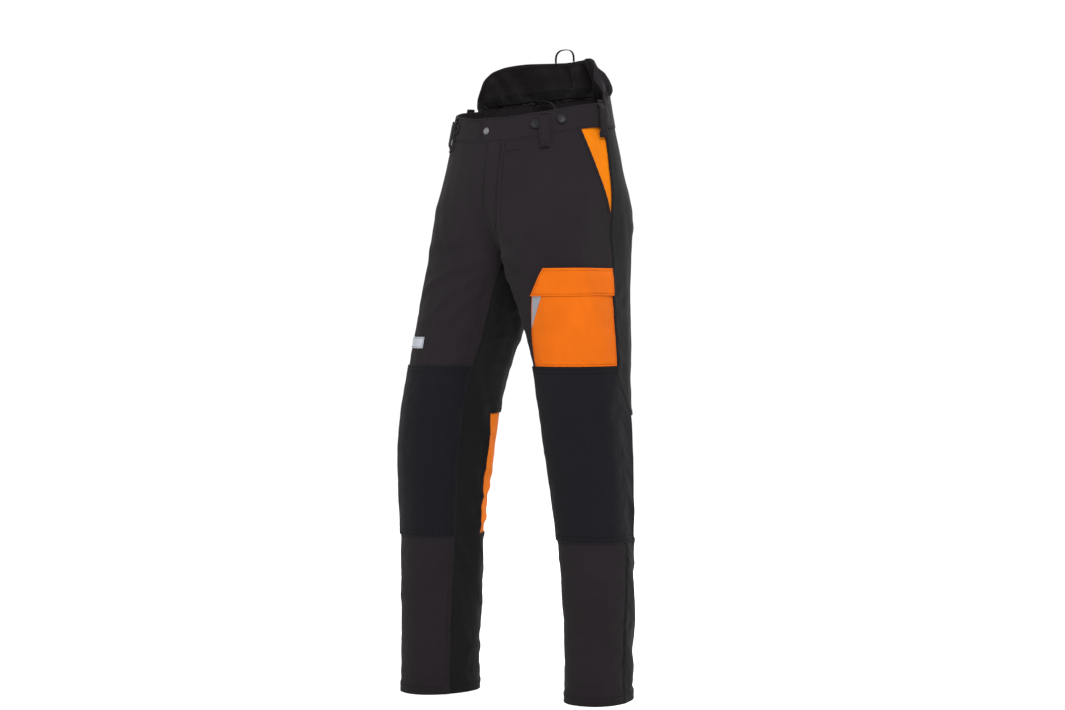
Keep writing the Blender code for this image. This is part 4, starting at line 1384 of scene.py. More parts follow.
def band_profile(gap_low, gap_high, edge_stitch=0.0028):
    """How far out a waistband's surface lies and how thick it is: rolled edges and sunken stitch lines."""
    near = np.minimum(gap_low, gap_high)
    radius = BAND / 2
    groove = 0.0003 * np.exp(-(((near - edge_stitch) / 0.0011) ** 2))
    drawn = np.minimum(roll(near, radius), radius * 0.92)
    return BAND_OUT - drawn - groove, BAND - 2 * drawn - groove


def band_low(along):
    """The waistband's lower edge at so many metres round from the front."""
    return WAIST[1][0](np.abs(along) / width_at(1, 0.2, 1.05)) - 0.0006


def band_high(along):
    return WAIST[1][1](np.abs(along) / width_at(1, 0.2, 1.05))


def band_piece(name, first, last, under=None):
    """A length of waistband round the front. under gives how far it dips below another piece."""
    u = rounded_steps(last - first, STEP, 0.0012)
    v = rounded_steps(0.046, STEP, BAND / 2)
    along, V = np.meshgrid(mix(first, last, u), v, indexing="ij")
    low, high = band_low(along), band_high(along)
    z = mix(low, high, V)
    out, thick = band_profile(z - low, high - z)
    out = out + 0.00035 * np.sin(along / 0.0135 + 2 * np.sin(z / 0.013)) * np.sin(math.pi * V)
    if under is not None:
        out = out - under(along)
    edge = np.minimum(np.minimum(z - low, high - z), np.minimum(along - first, last - along))
    place = front_lay(along, z, out)
    return sheet(name, "charcoal_cloth", place, thick, np.stack([along, z], 2), np.maximum(edge, 0))


def band_stitches(key, first, last, out):
    along = np.linspace(first, last, 240)
    for z in (band_low(along) + 0.0028, band_high(along) - 0.0028):
        stitch(key, *front_lay(along, z, out))


def waistband():
    """Left and right lengths that lap at the front, and one length round the back."""
    half = {side: float(0.5 * width_at(side, 0.2, 1.06)) for side in (1, -1)}
    first = TAB_END
    left = band_piece("waistband_left_cloth", first, half[1])
    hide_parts("waistband_left", "waistband_tab")
    ride_flap(left)
    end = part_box("waistband_right")[1].x
    under = lambda along: 0.0040 * smoothstep((along - first + 0.007) / 0.007)
    right = band_piece("waistband_right_cloth", -half[-1], end, under)
    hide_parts("waistband_right")
    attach(right, "hips")
    band_stitches(("flap", 1), first + 0.003, half[1], BAND_OUT)
    band_stitches(("waist", "hips"), -half[-1], first - 0.008, BAND_OUT)
    z = np.linspace(float(band_low(first)) + 0.003, float(band_high(first)) - 0.003, 30)
    stitch(("flap", 1), *front_lay(np.full_like(z, first + 0.0028), z, BAND_OUT))
    around = np.linspace(-1, 1, 190)
    v = rounded_steps(0.046, STEP, BAND / 2)
    A, V = np.meshgrid(around, v, indexing="ij")
    share = 1 - np.abs(A) * 0.5
    low, high = (np.where(A < 0, WAIST[1][k](share), WAIST[-1][k](share)) for k in (0, 1))
    low = low - 0.0006
    z = mix(low, high, V)
    out, thick = band_profile(z - low, high - z)
    length = 0.49
    out = out + 0.0005 * np.sin(A * length / 0.011 + 2 * np.sin(z / 0.012)) * np.sin(math.pi * V)
    edge = np.minimum(z - low, high - z)
    place, uv = back_lay(A, 0.5, z, out), np.stack([A * length / 2, z], 2)
    back = sheet("waistband_back_cloth", "charcoal_cloth", place, thick, uv, edge)
    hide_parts("waistband_back")
    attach(back, "hips")
    for gap in (0.0028, 0.0432):
        line = low[:, 0] + gap
        stitch(("waist", "hips"), *back_lay(around, 0.5, line, BAND_OUT))


def ride_flap(obj):
    """The tab's end of the waistband, with its placement baked into its mesh."""
    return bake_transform(obj)


def fly():
    """The cover, the shield behind it, and the zip between."""
    first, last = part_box("fly_cover")[0].x, FLY_EDGE + 0.0003
    u = graded(last - first, 0.0022)
    v = graded(0.165, STEP)
    along, V = np.meshgrid(mix(first, last, u), v, indexing="ij")
    curve = 1 - smoothstep((along - first) / 0.024)
    low = FLY_FOOT + 0.044 * curve**1.6
    high = band_low(along) + 0.004
    z = mix(low, high, V)
    edge = np.maximum(np.minimum(np.minimum(along - first, last - along), z - low), 0)
    out = 0.0011 + pucker(along - first, z, 0.006, 0.0002) + 0.0002 * np.sin(z / 0.012)
    place, uv = front_lay(along, z, out), np.stack([along, z], 2)
    cover = sheet("fly_cover_cloth", "charcoal_cloth", place, 0.0018, uv, edge, bulge=0.5)
    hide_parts("fly_cover")
    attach(cover, "fly_flap")
    for row in (0.0045, 0.0075):
        z = np.linspace(FLY_FOOT + 0.0015, float(band_low(last)), 120)
        bend = np.clip((FLY_FOOT + 0.030 - z) / 0.030, 0, 1) ** 2.2
        x = last - row - (last - row - first - 0.020) * bend
        stitch(("fly", "fly_flap"), *front_lay(x, z, 0.0012))
    z = np.linspace(FLY_FOOT + 0.047, float(band_low(first)), 90)
    stitch(("fly", "fly_flap"), *front_lay(np.full_like(z, first + 0.0022), z, 0.0012))
    x = np.linspace(last + 0.004, last + 0.036, 40)
    stitch(("hip", 1), *front_lay(x, band_low(x) - 0.019, 0.0006), pitch=0.0042)
    fly_shield()
    zip_parts()


def zip_lines():
    """The zip's top, its foot and the way out of the body."""
    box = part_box("zip_tape_left")
    down = Vector(JOINTS["zip_slide"]["axis"]).normalized()
    top = Vector((0, box[0].y, box[1].z))
    length = (box[1].z - box[0].z) / -down.z
    return top, down, length


def fly_shield():
    """The guard behind the zip."""
    low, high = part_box("fly_shield")
    u = np.linspace(low.x, high.x, 26)
    v = np.linspace(0, 1, 60)
    X, V = np.meshgrid(u, v, indexing="ij")
    ripple = 0.0004 * np.sin(X / 0.006 + 3 * V)
    start = np.array([0, low.y + 0.0006, high.z])
    run = np.array([0, high.y - low.y - 0.0018, low.z - high.z])
    points = start + (1 - V[..., None]) * run
    points = points + np.stack([X, ripple, 0 * X], 2)
    normals = np.broadcast_to(np.array([0, -1.0, 0]), points.shape)
    uv, edge = np.stack([X, V * 0.15], 2), np.full(X.shape, 0.01)
    made = sheet("fly_shield_cloth", "charcoal_cloth", (points, normals), 0.0014, uv, edge)
    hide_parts("fly_shield")
    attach(made, "hips")


def block(size, centre, rounding=0.3):
    """Corners and faces of a rounded block."""
    bm = bmesh.new()
    bmesh.ops.create_cube(bm, size=1, matrix=Matrix.Diagonal((*size, 1)))
    bmesh.ops.bevel(bm, geom=bm.edges, offset=min(size) * rounding, segments=2, affect="EDGES")
    bmesh.ops.translate(bm, verts=bm.verts, vec=centre)
    return bm


def collect(name, slot, parts, matrix=Matrix.Identity(4), finish=None):
    """One object from several bmeshes."""
    points, faces, base = [], [], 0
    for bm in parts:
        bmesh.ops.triangulate(bm, faces=bm.faces)
        bm.verts.index_update()
        points += [matrix @ v.co for v in bm.verts]
        faces += [[v.index + base for v in face.verts] for face in bm.faces]
        base = len(points)
        bm.free()
    points = np.array([list(p) for p in points])
    uvs = np.stack([points[:, 0], points[:, 2]], 1)
    return new_mesh(name, points, np.array(faces), slot, uvs, np.full(len(points), 0.01), finish)


def zip_parts():
    """Two tapes, each with its own row of teeth, the slider and its pull."""
    top, down, length = zip_lines()
    turn = Matrix((Vector((1, 0, 0)), Vector((1, 0, 0)).cross(down), -down)).transposed().to_4x4()
    at = Matrix.Translation(top) @ turn
    pitch = 0.0022
    for name, side in SIDES.items():
        parts = [block((0.0150, 0.0007, length), (side * 0.0095, -0.0012, -length / 2), 0.4)]
        parts.append(block((0.0018, 0.0016, length - 0.004), (side * 0.0026, -0.0014, -length / 2), 0.45))
        tape = collect("zip_tape_cloth_" + name, "zip_metal", parts, at, "webbing")
        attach(tape, "hips")
        teeth = []
        for k in range(int((length - 0.008) / (2 * pitch))):
            z = -0.005 - k * 2 * pitch - (pitch if side > 0 else 0)
            teeth.append(block((0.0032, 0.0018, 0.0014), (side * 0.0007, -0.0014, z)))
        made = collect("zip_teeth_" + name, "zip_metal", teeth, at)
        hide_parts("zip_tape_" + name)
        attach(made, "hips")
    low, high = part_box("zip_slider")
    middle = (low + high) / 2
    front = high.y - 0.0024
    parts = [
        block((0.0095, 0.0016, 0.0125), (0, front, middle.z - 0.0002), 0.35),
        block((0.0060, 0.0014, 0.0050), (0, front - 0.0008, middle.z + 0.0020), 0.4),
        block((0.0012, 0.0034, 0.0042), (0.0031, front - 0.0018, high.z - 0.0035), 0.35),
        block((0.0012, 0.0034, 0.0042), (-0.0031, front - 0.0018, high.z - 0.0035), 0.35),
    ]
    slider = collect("zip_slider_cast", "zip_metal", parts)
    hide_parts("zip_slider")
    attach(slider, "zip_slider")
    low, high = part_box("zip_pull")
    y, tall = (low.y + high.y) / 2, high.z - low.z
    parts = [block((0.0044, 0.0012, tall * 0.42), (0, y, low.z + tall * 0.21), 0.45)]
    for side in (1, -1):
        parts.append(block((0.0012, 0.0012, tall * 0.62), (side * 0.0015, y, high.z - tall * 0.31), 0.4))
    parts.append(block((0.0042, 0.0012, 0.0014), (0, y, high.z - 0.0008), 0.4))
    pull = collect("zip_pull_cast", "zip_metal", parts)
    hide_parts("zip_pull")
    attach(pull, "zip_pull")


# ---------------------------------------------------------------- the raised back panel

def kidney_shape(around, rise, width):
    """The panel's surface: gathered at its foot, puffed out above, drawn in at its top and softly pleated."""
    share = 1 - np.abs(around) * KIDNEY_REACH
    rim = np.where(around < 0, WAIST[1][1](share), WAIST[-1][1](share))
    from_end = 1 - np.abs(around)
    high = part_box("kidney_panel")[1].z - 0.0006
    corner = 1 - np.clip(1 - from_end / 0.34, 0, 1) ** 2
    top = high - 0.048 + 0.038 * np.sqrt(corner) + 0.010 * smoothstep(from_end / 0.60)
    foot = rim - 0.008
    z = mix(foot, top, rise)
    foot_place, facing = back_lay(around, KIDNEY_REACH, rim, 0.0, 0.0)
    flat = facing.copy()
    flat[..., 2] = 0
    flat /= np.linalg.norm(flat, axis=2)[..., None]
    lean = float(back_lay(0.0, KIDNEY_REACH, high, 0.0, 0.0)[0][..., 1]) - centre_of("hanger_loop").y
    depth = lean * np.interp(rise, np.linspace(0, 1, 7), (0.06, -0.02, -0.06, 0.10, 0.42, 0.74, 1))
    depth = depth + 0.016 * rise * np.sin(math.pi * np.clip(np.abs(around), 0, 1)) ** 1.2
    depth = depth - 0.004 * smoothstep(np.abs(around) * 4 - 3) * np.sin(math.pi * np.clip(rise, 0, 1))
    depth = depth + 0.007 * rise * smoothstep(-around * 1.6)
    real = around * width / 2
    along = real / (1 + 0.35 * rise)
    broad = np.sin(along / 0.0118 + 1.1 * np.sin(along / 0.031)) + 0.5 * np.sin(along / 0.0071 + 2.0)
    fine = np.sin(along / 0.0021 + 1.5 * np.sin(along / 0.009)) + 0.6 * np.sin(along / 0.0013)
    swing = smoothstep(rise / 0.25) * (1 - 0.80 * smoothstep((rise - 0.68) / 0.3))
    swing = swing * smoothstep(from_end / 0.14)
    slant = along + 0.010 * rise * np.sin(along / 0.024)
    broad = broad + 0.4 * np.sin(slant / 0.0046) * smoothstep(rise / 0.4)
    pleat = 0.0056 * broad * swing + 0.0010 * fine * (1 - smoothstep((rise - 0.12) / 0.30))
    points = foot_place + flat * (pleat - depth)[..., None]
    points[..., 2] = z
    return points, real, top - z


KIDNEY_REACH = 0.476


def surface_normals(points):
    """The way each point of a grid faces."""
    along = np.gradient(points, axis=0)
    up = np.gradient(points, axis=1)
    normal = np.cross(along, up)
    return normal / (np.linalg.norm(normal, axis=2)[..., None] + 1e-12)


def kidney():
    width = 0.41
    around = np.linspace(-1, 1, 230)
    rise = rounded_steps(0.09, 0.0021, 0.0016)
    A, V = np.meshgrid(around, rise, indexing="ij")
    points, along, gap = kidney_shape(A, V, width)
    end = (1 - np.abs(A)) * width / 2
    near = np.minimum(gap, end)
    binding = 1 - smoothstep((near - 0.0065) / 0.0012)
    half = mix(0.0009, 0.0017, binding)
    drawn = np.minimum(roll(near, 0.0016), 0.0014) * binding
    normals = surface_normals(points)
    thick = 2 * half - 2 * drawn
    place = (points + normals * (thick / 2)[..., None], normals)
    uv = np.stack([along, points[..., 2]], 2)
    made = sheet("kidney_panel_cloth", "charcoal_cloth", place, thick, uv, np.maximum(near, 0))
    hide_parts("kidney_panel")
    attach(made, "hips")
    line = np.argmin(np.abs(rise - 0.945))
    for turn in (1, -1):
        row = points[:, line] + normals[:, line] * 0.0013 * turn
        stitch(("waist", "hips"), row[4:-4], normals[4:-4, line] * turn)
    around = np.linspace(-0.95, 0.95, 210)
    rise = np.linspace(0.06, 0.33, 16)
    A, V = np.meshgrid(around, rise, indexing="ij")
    points, along, gap = kidney_shape(A, V, width * 0.95)
    normals = surface_normals(points)
    rib = np.abs(np.sin(math.pi * (V - 0.06) / 0.045))
    points = points - normals * (0.0028 + 0.0006 * rib)[..., None]
    uv = np.stack([along, points[..., 2]], 2)
    made = sheet("kidney_elastic_band", "webbing", (points, normals), 0.0011, uv, np.full(A.shape, 0.01))
    # The elastic takes the darker charcoal copy: painted shade.
    made.data.materials[0] = finish_of("charcoal_painted_shade")
    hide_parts("kidney_elastic")
    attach(made, "hips")


# ---------------------------------------------------------------- loops and buttons

def strap(name, slot, path, across, thick, finish=None, body="hips"):
    """A strap with rounded edges along a path. across gives half its width as a vector at each point."""
    path, across = np.asarray(path, float), np.asarray(across, float)
    run = np.gradient(path, axis=0)
    run /= np.linalg.norm(run, axis=1)[:, None]
    out = np.cross(run, across)
    out /= np.linalg.norm(out, axis=1)[:, None]
    count = 9
    t = np.linspace(-1, 1, count)
    round_off = np.sqrt(np.clip(1 - np.abs(t) ** 6, 0, 1)) * 0.92 + 0.08
    lift = out[:, None] * (thick / 2 * round_off)[None, :, None]
    outer = path[:, None] + across[:, None] * t[None, :, None] + lift
    inner = outer - out[:, None] * (thick * round_off)[None, :, None]
    length = arc_lengths(path)
    half = np.linalg.norm(across, axis=1)
    uv = np.stack([np.broadcast_to(length[:, None], outer.shape[:2]), half[:, None] * t[None]], 2)
    edge = half[:, None] * (1 - np.abs(t))[None]
    made = grid_mesh(name, outer, inner, slot, None, uv, edge, True, 0.5)
    if finish:
        made.data.materials[0] = finish_of(finish)
    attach(made, body)
    return made


def arch_path(width, height, foot=0.0, count=44, square=2.6):
    """An arch in the XZ plane, standing on z = 0. foot is how far its two feet carry on down."""
    turn = np.linspace(0, math.pi, count)
    x = -np.sign(np.cos(turn)) * np.abs(np.cos(turn)) ** (2 / square) * width / 2
    z = np.abs(np.sin(turn)) ** (2 / square) * height
    arch = np.stack([x, 0 * x, z], 1)
    if foot == 0:
        return arch
    left = [[-width / 2, 0, -foot], [-width / 2, 0, -foot / 2]]
    right = [[width / 2, 0, -foot / 2], [width / 2, 0, -foot]]
    return np.concatenate([left, arch, right])


def loops():
    """The hanger loop, the inside loop and the five belt loops."""
    low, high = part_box("hanger_loop")
    middle = np.array((low + high) / 2)
    half = np.array([0, (high.y - low.y) / 2, 0])
    path = arch_path(0.0450, high.z - low.z - 0.0012, 0.004) + [middle[0], middle[1], low.z]
    half = np.broadcast_to(half, path.shape)
    made = strap("hanger_loop_tape", "webbing", path, half, 0.0017, body="hanger_loop")
    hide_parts("hanger_loop")
    low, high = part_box("inner_loop")
    middle = np.array((low + high) / 2)
    turn = math.radians(16)
    spin = np.array([[math.cos(turn), -math.sin(turn), 0], [math.sin(turn), math.cos(turn), 0], [0, 0, 1]])
    path = arch_path(0.0585, high.z - low.z - 0.001) @ spin.T + [middle[0], middle[1] - 0.013, low.z]
    half = np.broadcast_to(np.array([0, 0.0048, 0]) @ spin.T, path.shape)
    made = strap("inner_loop_tape", "webbing", path, half, 0.0016, "webbing_pale")
    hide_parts("inner_loop")
    for name, side in SIDES.items():
        belt_loop("belt_loop_front_" + name, side, 0.231)
        belt_loop("belt_loop_side_" + name, side, 0.478)
    belt_loop("belt_loop_back", 1, 1.0)


def belt_loop(node, side, share):
    """A folded strap sewn down at both ends that stands off the waistband between them."""
    low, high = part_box(node)
    count = 44
    t = np.linspace(0, 1, count)
    z = mix(low.z + 0.0004, high.z - 0.0004, t)
    half_width = 0.0098
    stand = 0.0046 * smoothstep((t - 0.07) / 0.16) * smoothstep((0.93 - t) / 0.16)
    folded = 0.0007 * ((t < 0.075) | (t > 0.925))
    out = BAND_OUT + 0.0012 + stand + folded
    out = out - 0.0004 * (np.abs(t - 0.04) < 0.018) - 0.0004 * (np.abs(t - 0.96) < 0.018)
    if share == 1.0:
        middle, normal = back_lay(np.zeros(count), 0.5, z, out, 0.0)
    else:
        middle, normal = lay(side, np.full(count, share), z, out, 0.0)
    rim = float(WAIST[side][1](share))
    above = np.maximum(z - rim, 0)
    middle = middle - normal * (above * 0.15)[:, None]
    run = np.gradient(middle, axis=0)
    across = np.cross(normal, run)
    across /= np.linalg.norm(across, axis=1)[:, None]
    across *= half_width
    made = strap("strap_" + node, "charcoal_cloth", middle, across, 0.0019)
    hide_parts(node)
    for spot in (0.035, 0.965):
        k = int(spot * (count - 1))
        way = run[k] / np.linalg.norm(run[k])
        for apart in (-0.0009, 0.0, 0.0009):
            u = np.linspace(-0.92, 0.92, 30)[:, None]
            line = middle[k] + across[k] * u + way * apart + normal[k] * 0.0010
            facing = np.broadcast_to(normal[k], line.shape)
            stitch(("waist", "hips"), line, facing, pitch=0.0021, radius=0.00034)
    for edge in (-0.80, 0.80):
        kept = slice(4, count - 4)
        line = (middle + across * edge + normal * 0.00105)[kept]
        stitch(("waist", "hips"), line, normal[kept], pitch=0.0030, radius=0.00026)


def turned(name, slot, profile, matrix, body, count=40, finish=None):
    """A turned piece from (radius, height) points that start and end on the axis."""
    points, faces, rings = [], [], []
    for radius, height in profile:
        base = len(points)
        many = 1 if radius == 0 else count
        for k in range(many):
            angle = 2 * math.pi * k / count
            points.append(matrix @ Vector((radius * math.cos(angle), radius * math.sin(angle), height)))
        rings.append([base + k % many for k in range(count)])
    for first, second in zip(rings, rings[1:]):
        for k in range(count):
            quad = [first[k], first[(k + 1) % count], second[(k + 1) % count], second[k]]
            for corners in (quad[:3], [quad[0], quad[2], quad[3]]):
                if len(set(corners)) == 3:
                    faces.append(corners)
    points = np.array([list(p) for p in points])
    made = new_mesh(name, points, np.array(faces), slot, points[:, :2], np.full(len(points), 0.01), finish)
    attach(made, body)
    return made


def rounded_profile(corners, radius, steps=4):
    """A profile with its inner corners rounded."""
    out = [corners[0]]
    for before, at, after in zip(corners, corners[1:], corners[2:]):
        before, at, after = (np.array(p) for p in (before, at, after))
        reach = [min(radius, np.linalg.norm(p - at) * 0.45) for p in (before, after)]
        a = at + (before - at) / np.linalg.norm(before - at) * reach[0]
        b = at + (after - at) / np.linalg.norm(after - at) * reach[1]
        for t in np.linspace(0, 1, steps + 1):
            out.append(tuple((1 - t) ** 2 * a + 2 * t * (1 - t) * at + t * t * b))
    return out + [corners[-1]]


def facing_matrix(point, normal):
    """A frame at a point whose +Z runs along the normal."""
    out = Vector(normal).normalized()
    sideways = Vector((0, 0, 1)).cross(out).normalized()
    turn = Matrix((sideways, out.cross(sideways), out)).transposed().to_4x4()
    return Matrix.Translation(Vector(point)) @ turn


def centre_of(node):
    low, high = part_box(node)
    return (low + high) / 2


# Profiles to turn, as (radius, height) in metres.
BUTTON_RIM = [(0.0092, 0.0012), (0.0091, 0.0030), (0.0082, 0.0037), (0.0070, 0.0032)]
BUTTON = [(0, 0), (0.0078, 0), *BUTTON_RIM, (0.0062, 0.0021), (0, 0.0017)]
SNAP_RIM = [(0.0068, 0.0004), (0.0062, 0.0011), (0.0052, 0.0009)]
SNAP_CAP = [(0, -0.0003), (0.0064, -0.0003), *SNAP_RIM, (0.0044, 0.0017), (0, 0.0021)]
SNAP_STUD = [(0, 0), (0.0045, 0), (0.0045, 0.0005), (0.0024, 0.0006), (0.0022, 0.0012), (0, 0.0014)]


def buttons():
    """Four brace buttons sewn on through their holes, and the snap at the front."""
    mounts = {mount["name"]: mount for mount in frame["record"]["mounts"]}
    for name in SIDES:
        for spot in ("inner", "outer"):
            mount = mounts["brace_" + name + "_" + spot]
            node = "brace_button_" + name + "_" + spot
            normal = Vector(mount["axis"]).normalized()
            centre = centre_of(node)
            base = facing_matrix(centre - normal * 0.0019, normal)
            made = turned(node + "_moulded", "black_plastic", rounded_profile(BUTTON, 0.0009), base, "hips")
            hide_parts(node)
            for x, y in ((1, 1), (-1, -1), (1, -1)):
                a = base @ Vector((x * 0.0014, y * 0.0014, 0.0020))
                b = base @ Vector((-x * 0.0014, y * 0.0014, 0.0020))
                line = np.array([list(a.lerp(b, t)) for t in np.linspace(0, 1, 6)])
                facing = np.broadcast_to(np.array(normal), line.shape)
                stitch(("button", "hips"), line, facing, pitch=0.0027, radius=0.00045, slot="webbing")
    centre = centre_of("snap_cap")
    point, normal = front_lay(np.array([centre.x]), np.array([centre.z]), BAND_OUT)
    base = facing_matrix(point[0], normal[0])
    cap = turned("snap_cap_pressed", "snap_metal", rounded_profile(SNAP_CAP, 0.0007), base, "fly_flap")
    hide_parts("snap_cap")
    centre = centre_of("snap_stud")
    base = facing_matrix(centre - Vector(normal[0]) * 0.0006, normal[0])
    stud = turned("snap_stud_pressed", "snap_metal", rounded_profile(SNAP_STUD, 0.0003), base, "hips", 28)
    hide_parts("snap_stud")


# ---------------------------------------------------------------- pockets and silver tape

def edges_of(node, side):
    """A piece's first and last share, as smooth straight-edged functions of height."""
    return spans(node, side, 24)


def pockets():
    for name, side in SIDES.items():
        hand_pocket(name, side)
    cargo_pocket()
    silver_band()


def hand_pocket(name, side):
    """The orange facing that shows in the slanting mouth, and the bag behind it."""
    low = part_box("pocket_facing_" + name)[0].z
    lo = lambda z: shift(side, np.minimum(slash(np.maximum(z, SLASH_TIP)), 0.5), z, -0.010)
    hi = lambda z: shift(side, 0.5, z, 0.0065)
    panel = Patch(side, lo, hi, const(low), waist_low(side))
    mouth = (panel.d_hi - 0.0065) / 0.040
    out = -0.0019 - 0.0012 * np.sin(math.pi * np.clip(mouth, 0, 1))
    fold = np.exp(-(((panel.z - 1.062 + 0.35 * (panel.share - 0.42)) / 0.0035) ** 2))
    out = out + 0.0008 * fold
    made = panel.shell("pocket_facing_cloth_" + name, "orange_cloth", out, 0.0010, finish="orange_facing")
    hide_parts("pocket_facing_" + name)
    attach(made, "hips")
    node = "pocket_bag_" + name
    first = lambda z: shift(side, np.minimum(slash(z), 0.5), z, -0.045)
    last = lambda z: shift(side, 0.5, z, 0.014)
    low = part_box(node)[0]
    bag = Patch(side, first, last, const(low.z - 0.008), above_low(side), step=0.004)
    made = bag.shell("pocket_bag_cloth_" + name, "charcoal_cloth", -0.0048, 0.0012, give=0.5)
    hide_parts(node)
    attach(made, "hips")


def above_low(side):
    """A little above where the panels end, so that the bag hides the top of the facing from inside."""
    return lambda share: waist_low(side)(share) + 0.0045


def cargo_pocket():
    """A flat patch pocket on the left thigh with a wide flap and a silver wedge."""
    side = 1
    low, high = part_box("cargo_pocket")[0].z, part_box("cargo_flap")[1].z
    flap_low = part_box("cargo_flap")[0].z
    rough_first, rough_last = edges_of("cargo_pocket", side)
    heights = np.linspace(low + 0.002, flap_low, 12)
    slope, base = np.polyfit(heights, rough_first(heights), 1)
    corner = float(edges_of("cargo_flap", side)[0](high - 0.002))
    lean = lambda z: base + slope * z
    cut = lambda z: 0.55 * (corner - float(lean(high))) * np.clip((z - flap_low) / (high - flap_low), 0, 1)
    first = lambda z: lean(z) + cut(z)
    last = const(float(np.median(rough_last(heights))))
    panel = Patch(side, first, last, const(low), const(high - 0.006))
    near = np.minimum(np.minimum(panel.d_lo, panel.d_hi), panel.d_low)
    under = smoothstep((panel.z - flap_low + 0.004) / 0.008)
    stand = 0.0024 + 0.0026 * smoothstep((near - 0.003) / 0.030)
    stand = mix(stand, 0.0030, 0.8 * under)
    thick = 0.0017
    stand = stand - 0.0003 * np.exp(-(((near - 0.0030) / 0.0012) ** 2))
    stand = stand + pucker(near, panel.z + panel.uv[..., 0], 0.008, 0.00018)
    made = panel.shell("cargo_pocket_cloth", "orange_cloth", stand, thick, give=0.45, bulge=0.5)
    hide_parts("cargo_pocket")
    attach(made, "left_thigh")
    for which in ("lo", "hi", "low"):
        stitch_edge(("cargo", "left_thigh"), panel, which, 0.0030, 0.0028, 0.45, slot="orange_cloth")
    cargo_flap(first, last, flap_low, high)
    wedge(first, flap_low)


def cargo_flap(first, last, low, high):
    side = 1
    lo = lambda z: shift(side, first(z), z, -0.0012)
    hi = lambda z: shift(side, last(z), z, 0.0012)
    panel = Patch(side, lo, hi, const(low), const(high))
    fall = smoothstep((high - panel.z) / 0.020)
    out = 0.0044 + 0.0022 * fall + 0.0003 * np.sin(panel.uv[..., 0] / 0.021) * fall
    near = np.minimum(np.minimum(panel.d_lo, panel.d_hi), panel.d_low)
    out = out - 0.0003 * np.exp(-(((near - 0.0030) / 0.0012) ** 2))
    out = out - 0.0003 * np.exp(-(((panel.d_high - 0.0040) / 0.0012) ** 2))
    made = panel.shell("cargo_flap_cloth", "orange_cloth", out, 0.0021, give=0.45, bulge=0.5)
    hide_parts("cargo_flap")
    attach(made, "cargo_flap")
    for which in ("lo", "hi", "low", "high"):
        distance = 0.0040 if which == "high" else 0.0030
        z_out = 0.0068 if which == "low" else 0.0046
        if which in ("lo", "hi"):
            row = 0 if which == "lo" else -1
            z = panel.z[row]
            share = shift(side, panel.share[row], z, distance if which == "lo" else -distance)
            z_out = 0.0046 + 0.0022 * smoothstep((high - z) / 0.020)
            stitch(("cargo", "cargo_flap"), *lay(side, share, z, z_out, 0.45), slot="orange_cloth")
        else:
            stitch_edge(("cargo", "cargo_flap"), panel, which, distance, z_out, 0.45, slot="orange_cloth")


def wedge(first, flap_low):
    """The silver wedge at the pocket's front edge, under the flap."""
    side = 1
    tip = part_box("pocket_reflector")[0].z
    lo = lambda z: shift(side, first(z), z, 0.0012)
    wide = lambda z: 0.0012 + 0.019 * np.clip((z - tip) / (flap_low - tip), 0, 1)
    hi = lambda z: shift(side, lo(z), z, wide(z))
    panel = Patch(side, lo, hi, const(tip), const(flap_low + 0.003), step=0.0018)
    near = panel.d_lo + 0.0012
    out = 0.0027 + 0.0026 * smoothstep((near - 0.003) / 0.030)
    label = "pocket_reflector_tape"
    made = panel.shell(label, "reflective", out + 0.0003, 0.0007, 0.45, finish="reflective_dull")
    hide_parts("pocket_reflector")
    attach(made, "left_thigh")


def silver_band():
    """A short strip of silver tape round the outside of the right thigh."""
    side = -1
    low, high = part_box("reflective_band")
    first, last = spans("reflective_band", side)
    lo, hi = (const(float(np.median(f(np.linspace(low.z, high.z, 9))))) for f in (first, last))
    panel = Patch(side, lo, hi, const(low.z), const(high.z), step=0.0022)
    near = panel.edge
    out = 0.0012 - 0.0002 * np.exp(-(((near - 0.0020) / 0.0009) ** 2))
    made = panel.shell("reflective_band_tape", "reflective", out, 0.0008)
    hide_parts("reflective_band")
    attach(made, "right_thigh")
    for which in ("low", "high", "lo", "hi"):
        stitch_edge(("band", "right_thigh"), panel, which, 0.0020, 0.0013, slot="webbing")


# ---------------------------------------------------------------- floor, light and camera

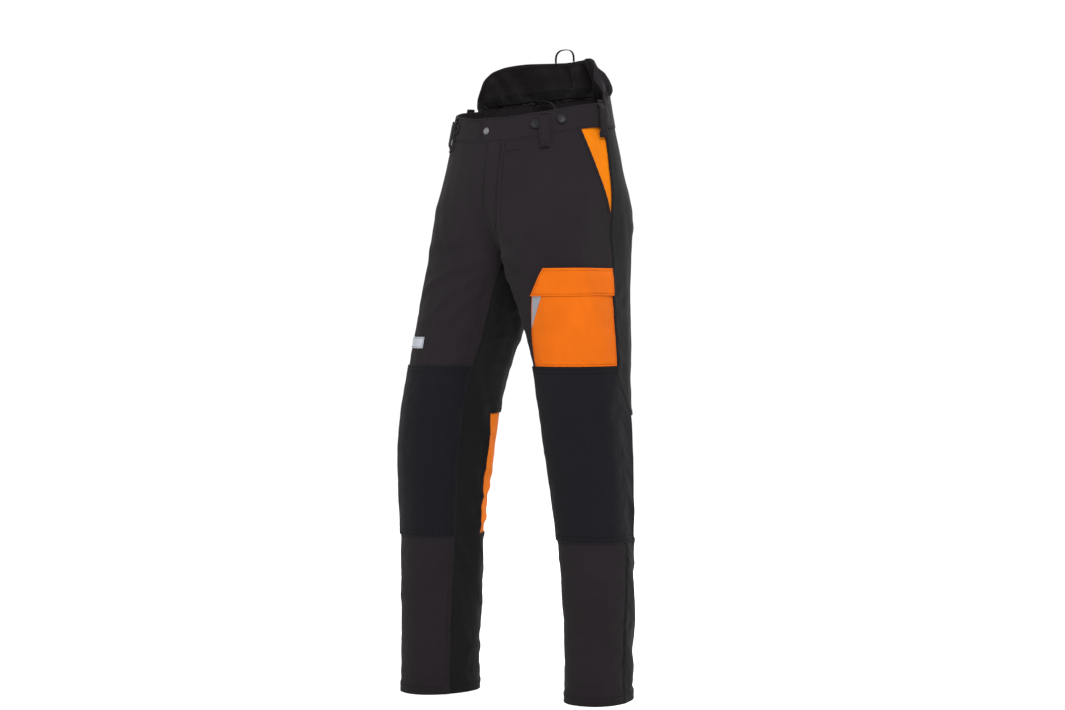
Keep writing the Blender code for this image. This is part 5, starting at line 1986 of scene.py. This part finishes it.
def studio():
    floor = bpy.data.meshes.new("floor")
    reach = 12.0
    corners_at = [(x * reach, y * reach, 0) for x, y in ((-1, -1), (1, -1), (1, 1), (-1, 1))]
    floor.from_pydata(corners_at, [], [(0, 1, 2, 3)])
    obj = bpy.data.objects.new("floor", floor)
    bpy.context.scene.collection.objects.link(obj)
    made = bpy.data.materials.new("pale floor")
    made.use_nodes = True
    shader = made.node_tree.nodes["Principled BSDF"]
    shader.inputs["Base Color"].default_value = (0.97, 0.97, 0.97, 1)
    shader.inputs["Specular IOR Level"].default_value = 0.0
    shader.inputs["Roughness"].default_value = 0.9
    floor.materials.append(made)
    world = bpy.data.worlds.new("studio")
    bpy.context.scene.world = world
    world.use_nodes = True
    world.node_tree.nodes["Background"].inputs["Color"].default_value = (1, 1, 1, 1)
    world.node_tree.nodes["Background"].inputs["Strength"].default_value = 1.04
    for name, spot, power, size in (
        ("key", (2.1, -2.1, 3.0), 165, 1.6),
        ("fill", (-2.8, -2.0, 2.0), 20, 2.4),
        ("back", (-0.4, 3.2, 2.8), 80, 2.0),
        ("far back", (-2.6, 2.6, 2.4), 60, 2.0),
    ):
        data = bpy.data.lights.new(name, "AREA")
        data.energy, data.size = power, size
        lamp = bpy.data.objects.new(name, data)
        lamp.location = spot
        lamp.rotation_mode = "QUATERNION"
        lamp.rotation_quaternion = (Vector((0, 0, 0.65)) - Vector(spot)).to_track_quat("-Z", "Y")
        bpy.context.scene.collection.objects.link(lamp)
    bpy.context.scene.view_settings.view_transform = "Standard"


def camera():
    """Stands 40 degrees round towards the wearer's left, 4.2 m away and 0.75 m up."""
    turn, away, height, tilt = math.radians(40), 4.2, 0.75, math.radians(1.35)
    data = bpy.data.cameras.new("camera")
    data.lens, data.sensor_width, data.shift_x = 73.7, 36.0, 0.0023
    obj = bpy.data.objects.new("camera", data)
    obj.location = (away * math.sin(turn), -away * math.cos(turn), height)
    obj.rotation_euler = (math.pi / 2 - tilt, 0, turn)
    bpy.context.scene.collection.objects.link(obj)
    bpy.context.scene.camera = obj


def corners(box):
    return [list(map(float, corner)) for corner in box]


legs()
waistband()
fly()
kidney()
loops()
buttons()
pockets()
sew_all()
studio()
camera()
